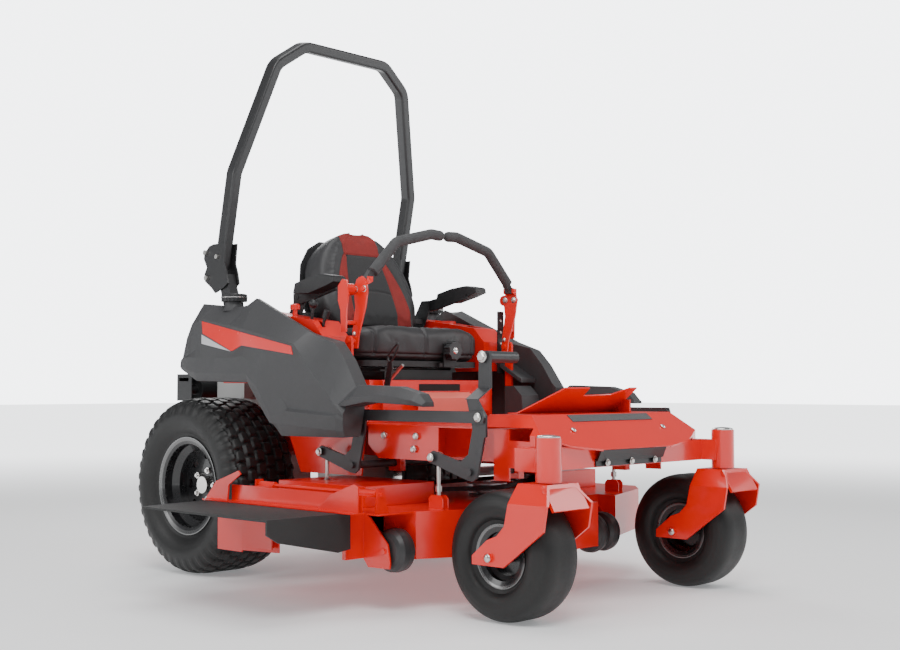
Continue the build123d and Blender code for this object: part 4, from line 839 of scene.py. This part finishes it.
def seatCover(name, withPanels):
    # grained vinyl, with a woven centre, red side stripes and a red head panel on the back
    finish = Finish(name)
    x, y, z = finish.axes()
    across, height = abs(y - float(shift[1])), z
    wrinkle = finish.noise(9.0, 7.0, 0.65)
    weaveUp = z.maths("SINE", height * 2400.0) * y.maths("SINE", y * 2400.0)
    vinyl = finish.blend(wrinkle, (0.016, 0.016, 0.017), (0.034, 0.034, 0.036))
    cloth = finish.blend(weaveUp * 0.5 + 0.5, (0.012, 0.012, 0.013), (0.040, 0.040, 0.041))
    redCloth = finish.blend(weaveUp * 0.4 + finish.noise(25.0, 4.0) * 0.6, (0.16, 0.008, 0.006),
                            (0.36, 0.020, 0.014))
    grain = finish.cells(520.0)
    if withPanels:
        share = (height - 0.90).maths("DIVIDE", height - 0.90, 0.22, clamp=True)
        inner = share * share * -0.030 + backLook["stripe"][0]
        outer = share * share * -0.075 + backLook["stripe"][1]
        lowPart = 1.0 - height.step(backLook["panelFoot"] - 0.001, backLook["panelFoot"] + 0.001)
        facing = (x + (height - 0.858) * 0.364).step(float(place(backLook["foot"][0] - 0.040, 0, 0)[0]),
                                                     float(place(backLook["foot"][0] - 0.036, 0, 0)[0]))
        isRed = (across - inner).step(0.0, 0.002) * (1.0 - (across - outer).step(0.0, 0.002)) * lowPart
        isCloth = (1.0 - (across - inner).step(0.0, 0.002)) * lowPart
        isPanel = (1.0 - across.step(backLook["panel"], backLook["panel"] + 0.002)) * (1.0 - lowPart)
        isRed = (isRed.either(isPanel)) * facing
        isCloth = isCloth * facing
        colour = finish.blend(isRed, finish.blend(isCloth, vinyl, cloth), redCloth)
        finish.feed("Roughness", 0.46 + wrinkle * 0.12 + isCloth * 0.30 + isRed * 0.22)
    else:
        colour = vinyl
        finish.feed("Roughness", 0.40 + wrinkle * 0.16)
    finish.feed("Base Color", colour)
    finish.bump(grain, 0.20, 0.0008)
    finish.bump(wrinkle, 0.10, 0.004)
    return finish.material


backPiece = dress(buildBack(), "seat", seatCover("backCover", True), 180.0,
                  ("seat_back",))
cushionPiece = dress(buildCushion(), "seat", seatCover("cushionCover", False),
                     180.0, ("seat_cushion",))
print("seat ready")

# ---------- fasteners, handles and small fittings ----------
boltLook = {"radius": 0.0085, "head": 0.0060, "washer": 0.0115}
fittingSpots = {"hangers": {"Rear": 0.584, "Front": 1.081}, "hangerLevel": 0.436, "hangerFace": 0.4652,
                "bar": {"Rear": 0.771, "Front": 1.268}, "barLevel": 0.556, "barFace": 0.4662,
                "axle": (1.378, 0.440, 0.180), "axleReach": 0.108, "grips": (0.649, 0.689),
                "gripLevel": 0.956,
                "plate": {"left": 0.3628, "right": -0.3692}, "pivot": (0.643, 0.812), "frameFace": 0.386,
                "frame": ((0.800, 0.492), (0.940, 0.492), (0.930, 0.452), (0.420, 0.500), (0.590, 0.500)),
                "pedal": (1.233, -0.4085, 0.729), "rivetHalf": 0.225, "trim": (-0.120, 0.0, 0.120),
                "slope": (0.099, 0, 0.123)}


def boltHead(name, spot, direction, size=1.0):
    # hexagonal head on a round washer, turned to stand along a direction
    axis = Vector(direction).normalized()
    turn = np.array(Vector((0, 0, 1)).rotation_difference(axis).to_matrix())
    corner = np.linspace(0, 2 * np.pi, 6, endpoint=False)
    washerTurn = np.linspace(0, 2 * np.pi, 24, endpoint=False)
    ring = lambda turns, radius, level: np.stack([radius * np.cos(turns), radius * np.sin(turns),
                                                  np.full(len(turns), level)], axis=-1)
    head = np.array([ring(corner, boltLook["radius"] * size * grow, boltLook["head"] * size * level)
                     for grow, level in ((1, 0.0), (1, 0.82), (0.86, 1.0), (0.5, 1.02))])
    washer = np.array([ring(washerTurn, boltLook["washer"] * size * grow, level * size)
                       for grow, level in ((1, -0.0005), (1, 0.0012), (0.92, 0.0017))])
    pieces = [closedGrid(name + part, grid @ turn.T + place(*spot)) for part,
              grid in (("head", head), ("washer", washer))]
    return joined(name, pieces)


def dome(name, spot, direction, radius, height):
    axis = Vector(direction).normalized()
    turn = np.array(Vector((0, 0, 1)).rotation_difference(axis).to_matrix())
    angle = np.linspace(0, np.pi / 2 * 0.97, 8)[:, None]
    around = np.linspace(0, 2 * np.pi, 28, endpoint=False)[None, :]
    grid = np.stack([radius * np.cos(angle) * np.cos(around), radius * np.cos(angle) * np.sin(around),
                     height * np.sin(angle) + 0 * around], axis=-1)
    return closedGrid(name, grid @ turn.T + place(*spot))


def fitted(piece, body, material=zinc, smooth=30.0):
    return dress(piece, body, material, smooth)


def sideFittings(side, sign):
    # bolts and domes of one side, each riding on the body that it holds
    spots, outward = fittingSpots, (0, sign, 0)
    for end, crank in (("Rear", "lift_crank_rear"), ("Front", "lift_crank_front")):
        hanger = (spots["hangers"][end], sign * spots["hangerFace"], spots["hangerLevel"])
        fitted(boltHead(end.lower() + "HangerBolt-" + side, hanger, outward, 1.1), crank)
    for end, x in spots["bar"].items():
        spot = (x, sign * spots["barFace"], spots["barLevel"])
        fitted(boltHead("barBolt" + end + "-" + side, spot, outward, 1.15), "lift_link")
    x, track, z = spots["axle"]
    for edge, across in (("Out", 1), ("In", -1)):
        spot = (x, sign * track + across * spots["axleReach"], z)
        fitted(dome("axleDome" + edge + "-" + side, spot, (0, across, 0), 0.0115, 0.007),
               "caster_fork_" + side)
    bracket, plate, inward = "lever_bracket_" + side, spots["plate"][side], (0, -1, 0)
    for index, x in enumerate(spots["grips"]):
        fitted(boltHead("gripBolt" + str(index) + "-" + side, (x, plate, spots["gripLevel"]), inward, 0.95),
               bracket)
    x, z = spots["pivot"]
    fitted(boltHead("pivotBolt-" + side, (x, plate, z), inward, 0.7), bracket)
    for index, (x, z) in enumerate(spots["frame"]):
        bolt = boltHead("frameBolt" + str(index) + "-" + side, (x, sign * spots["frameFace"], z), outward,
                        0.95)
        fitted(bolt, "chassis")


for side, sign in sideSign.items():
    sideFittings(side, sign)
fitted(boltHead("pedalBolt", fittingSpots["pedal"], (0, -1, 0), 1.5), "lift_crank_front")
for index, across in enumerate((-1, 1)):
    rivet = (1.4220, across * fittingSpots["rivetHalf"], 0.5196)
    fitted(dome("hoodRivet" + str(index), rivet, fittingSpots["slope"], 0.0085, 0.004), "chassis",
           domeSteel, 40.0)
for index, y in enumerate(fittingSpots["trim"]):
    fitted(boltHead("trimBolt" + str(index), (1.464, y, 0.4225), (1, 0, 0), 0.9), "chassis")


def gritStrip():
    finish = Finish("gritTape")
    grit = finish.cells(700.0)
    finish.feed("Base Color", finish.blend(grit, (0.05, 0.05, 0.052), (0.13, 0.13, 0.132)))
    finish.feed("Roughness", 0.85 + grit * 0.1)
    finish.bump(grit, 0.6, 0.001)
    return finish.material


dress(extruded("stepStrip", [(1.3690, 0.5590), (1.3920, 0.5404), (1.3932, 0.5418), (1.3702, 0.5604)],
               -0.190, 0.210),
      "chassis", gritStrip(), 30.0)


def strapLever():
    # flat black strap that widens, with a triangular loop of bar at its end
    strap = extruded("strapLeverBlade",
                     [(0.712, 0.640), (0.738, 0.640), (0.752, 0.700), (0.750, 0.724), (0.732, 0.724),
                      (0.728, 0.700)], -0.3045, -0.3005)
    loop = torusLoop("strapLeverLoop",
                     [(0.734, 0.722), (0.749, 0.722), (0.782, 0.776), (0.774, 0.782), (0.728, 0.742)],
                     -0.3025, 0.0035)
    return [strap, loop]


def torusLoop(name, corners, y, radius):
    # a round bar bent round a closed outline
    flat = rounded(corners, 3, closed=True)
    path = np.stack([flat[:, 0], np.full(len(flat), y), flat[:, 1]], axis=-1) + shift
    tangent = np.roll(path, -1, axis=0) - np.roll(path, 1, axis=0)
    tangent /= np.linalg.norm(tangent, axis=1, keepdims=True)
    side = np.cross(tangent, [0.0, 1.0, 0.0])
    turn = np.linspace(0, 2 * np.pi, 12, endpoint=False)
    ring = np.cos(turn)[None, :, None] * side[:, None] + np.sin(turn)[None, :,
                                                                      None] * np.array([0.0, 1.0, 0.0])
    return torusGrid(name, path[:, None] + radius * ring)


for piece in strapLever():
    dress(piece, "chassis", blackPaint, 35.0)
dress(tube("slideLever", place(0, 0, 0)
           + rounded([(0.690, -0.262, 0.662), (0.705, -0.262, 0.670), (0.740, -0.262, 0.700),
                      (0.758, -0.262, 0.712)], 2), 0.0055, 14),
      "chassis", zinc, 50.0)
print("fittings ready")

# ---------- seat base front, far side and lever details ----------
# the light colour is a lit copy of the red paint: painted highlight for the flange and panel in front of the seat
# base
baseLook = {"slot": (-0.095, 0.105, 0.626, 0.652), "light": (0.80, 0.16, 0.12), "flange": (-0.135, 0.150)}
paintedHighlightRed = plastic("lightRedPanel", baseLook["light"], 0.34, 0.4)
# near-black plastic for the slot: painted shade standing in for the shaded opening
darkVoid = plastic("darkVoid", (0.006, 0.006, 0.006), 0.7, 0.0)


def slab(name, low, high):
    # a box with slightly broken corners
    corners = np.array([(low[0], low[1]), (high[0], low[1]), (high[0], high[1]), (low[0], high[1])])
    cut = min(0.0015, 0.3 * min(high[axis] - low[axis] for axis in range(3)))
    ring = lambda inset, level: np.array([(x + (inset if x == low[0] else -inset),
                                           y + (inset if y == low[1] else -inset), level) for x,
                                          y in corners])
    rings = np.stack([ring(cut, low[2]), ring(0, low[2] + cut), ring(0, high[2] - cut), ring(cut, high[2])])
    return closedGrid(name, rings + shift)


dress(slab("baseFront", (0.660, -0.262, 0.556), (0.664, 0.262, 0.664)), "chassis", red,
      30.0)
# the slot is a near-black plate on the face of the base, painted shade where the opening would be, not a hole
dress(slab("baseSlot", (0.6638, baseLook["slot"][0], baseLook["slot"][2]),
           (0.6652, baseLook["slot"][1], baseLook["slot"][3])),
      "chassis", darkVoid, 30.0)
# the flange and panel take the lighter red, a painted highlight standing for light falling on them
dress(extruded("baseFlange", [(0.664, 0.6245), (0.664, 0.6225), (0.700, 0.6020), (0.701, 0.6040)],
               *baseLook["flange"]), "chassis", paintedHighlightRed, 30.0)
dress(extruded("basePanel", [(0.698, 0.6035), (0.700, 0.5600), (0.702, 0.5600), (0.701, 0.6040)],
               *baseLook["flange"]), "chassis", paintedHighlightRed, 30.0)

dress(slab("holedStrap", (0.606, 0.366, 0.690), (0.612, 0.396, 0.918)), "chassis", blackPaint,
      30.0)
for index, z in enumerate((0.800, 0.842, 0.884)):
    fitted(dome("strapPin" + str(index), (0.6115, 0.381, z), (1, 0, 0), 0.0055, 0.002), "chassis", zinc, 40.0)

# the far foot pad is a sloping plate with ribs across it
slopeLow, slopeHigh = np.array([0.712, 0.668]), np.array([0.590, 0.736])
ribEdges = 44
share = np.linspace(0, 1, ribEdges)
ribLine = slopeLow + share[:, None] * (slopeHigh - slopeLow)
lift = np.array([0.0048, 0.0086]) * np.where(np.arange(ribEdges) % 2, 1.0, 0.35)[:, None]
ribTop = ribLine + lift / 2
dress(extruded("ribbedPad", [tuple(point) for point in ribTop]
               + [tuple(slopeHigh - [0, 0.010]), tuple(slopeLow - [0, 0.010])], 0.375, 0.455),
      "chassis", fenderPlastic, 30.0)
dress(extruded("padBlock", [(0.670, 0.520), (0.760, 0.520), (0.748, 0.612), (0.712, 0.646), (0.670, 0.646)],
               0.335, 0.430),
      "chassis", fenderPlastic, 30.0)

for side, sign in sideSign.items():
    bracket = "lever_bracket_" + side
    boss = lathe("leverBoss-" + side,
                 [(-0.019, 0.0), (-0.019, 0.018), (-0.018, 0.019), (0.018, 0.019), (0.019, 0.018),
                  (0.019, 0.0)],
                 place(0.634, sign * 0.388, 0.956), "y", 40)
    dress(boss, bracket, red, 40.0)
knobFace = max((nodes["seat_knob"].matrix_world @ vertex.co).x for vertex in nodes["seat_knob"].data.vertices)
knobCentre = np.array(joints["seat_knob_turn"]["pos_m"]) - shift
knobSpot = (knobFace - shift[0] - 0.0005, knobCentre[1], knobCentre[2])
fitted(dome("knobCentre", knobSpot, (1, 0, 0), 0.012, 0.004), "seat_knob", domeSteel, 40.0)
for side in sideSign:
    head = np.array(joints["caster_swivel_" + side]["pos_m"]) - shift
    fitted(dome("headCap-" + side, (head[0], head[1], 0.5078), (0, 0, 1), 0.0325, 0.006), "chassis",
           domeSteel, 40.0)
print("details ready")
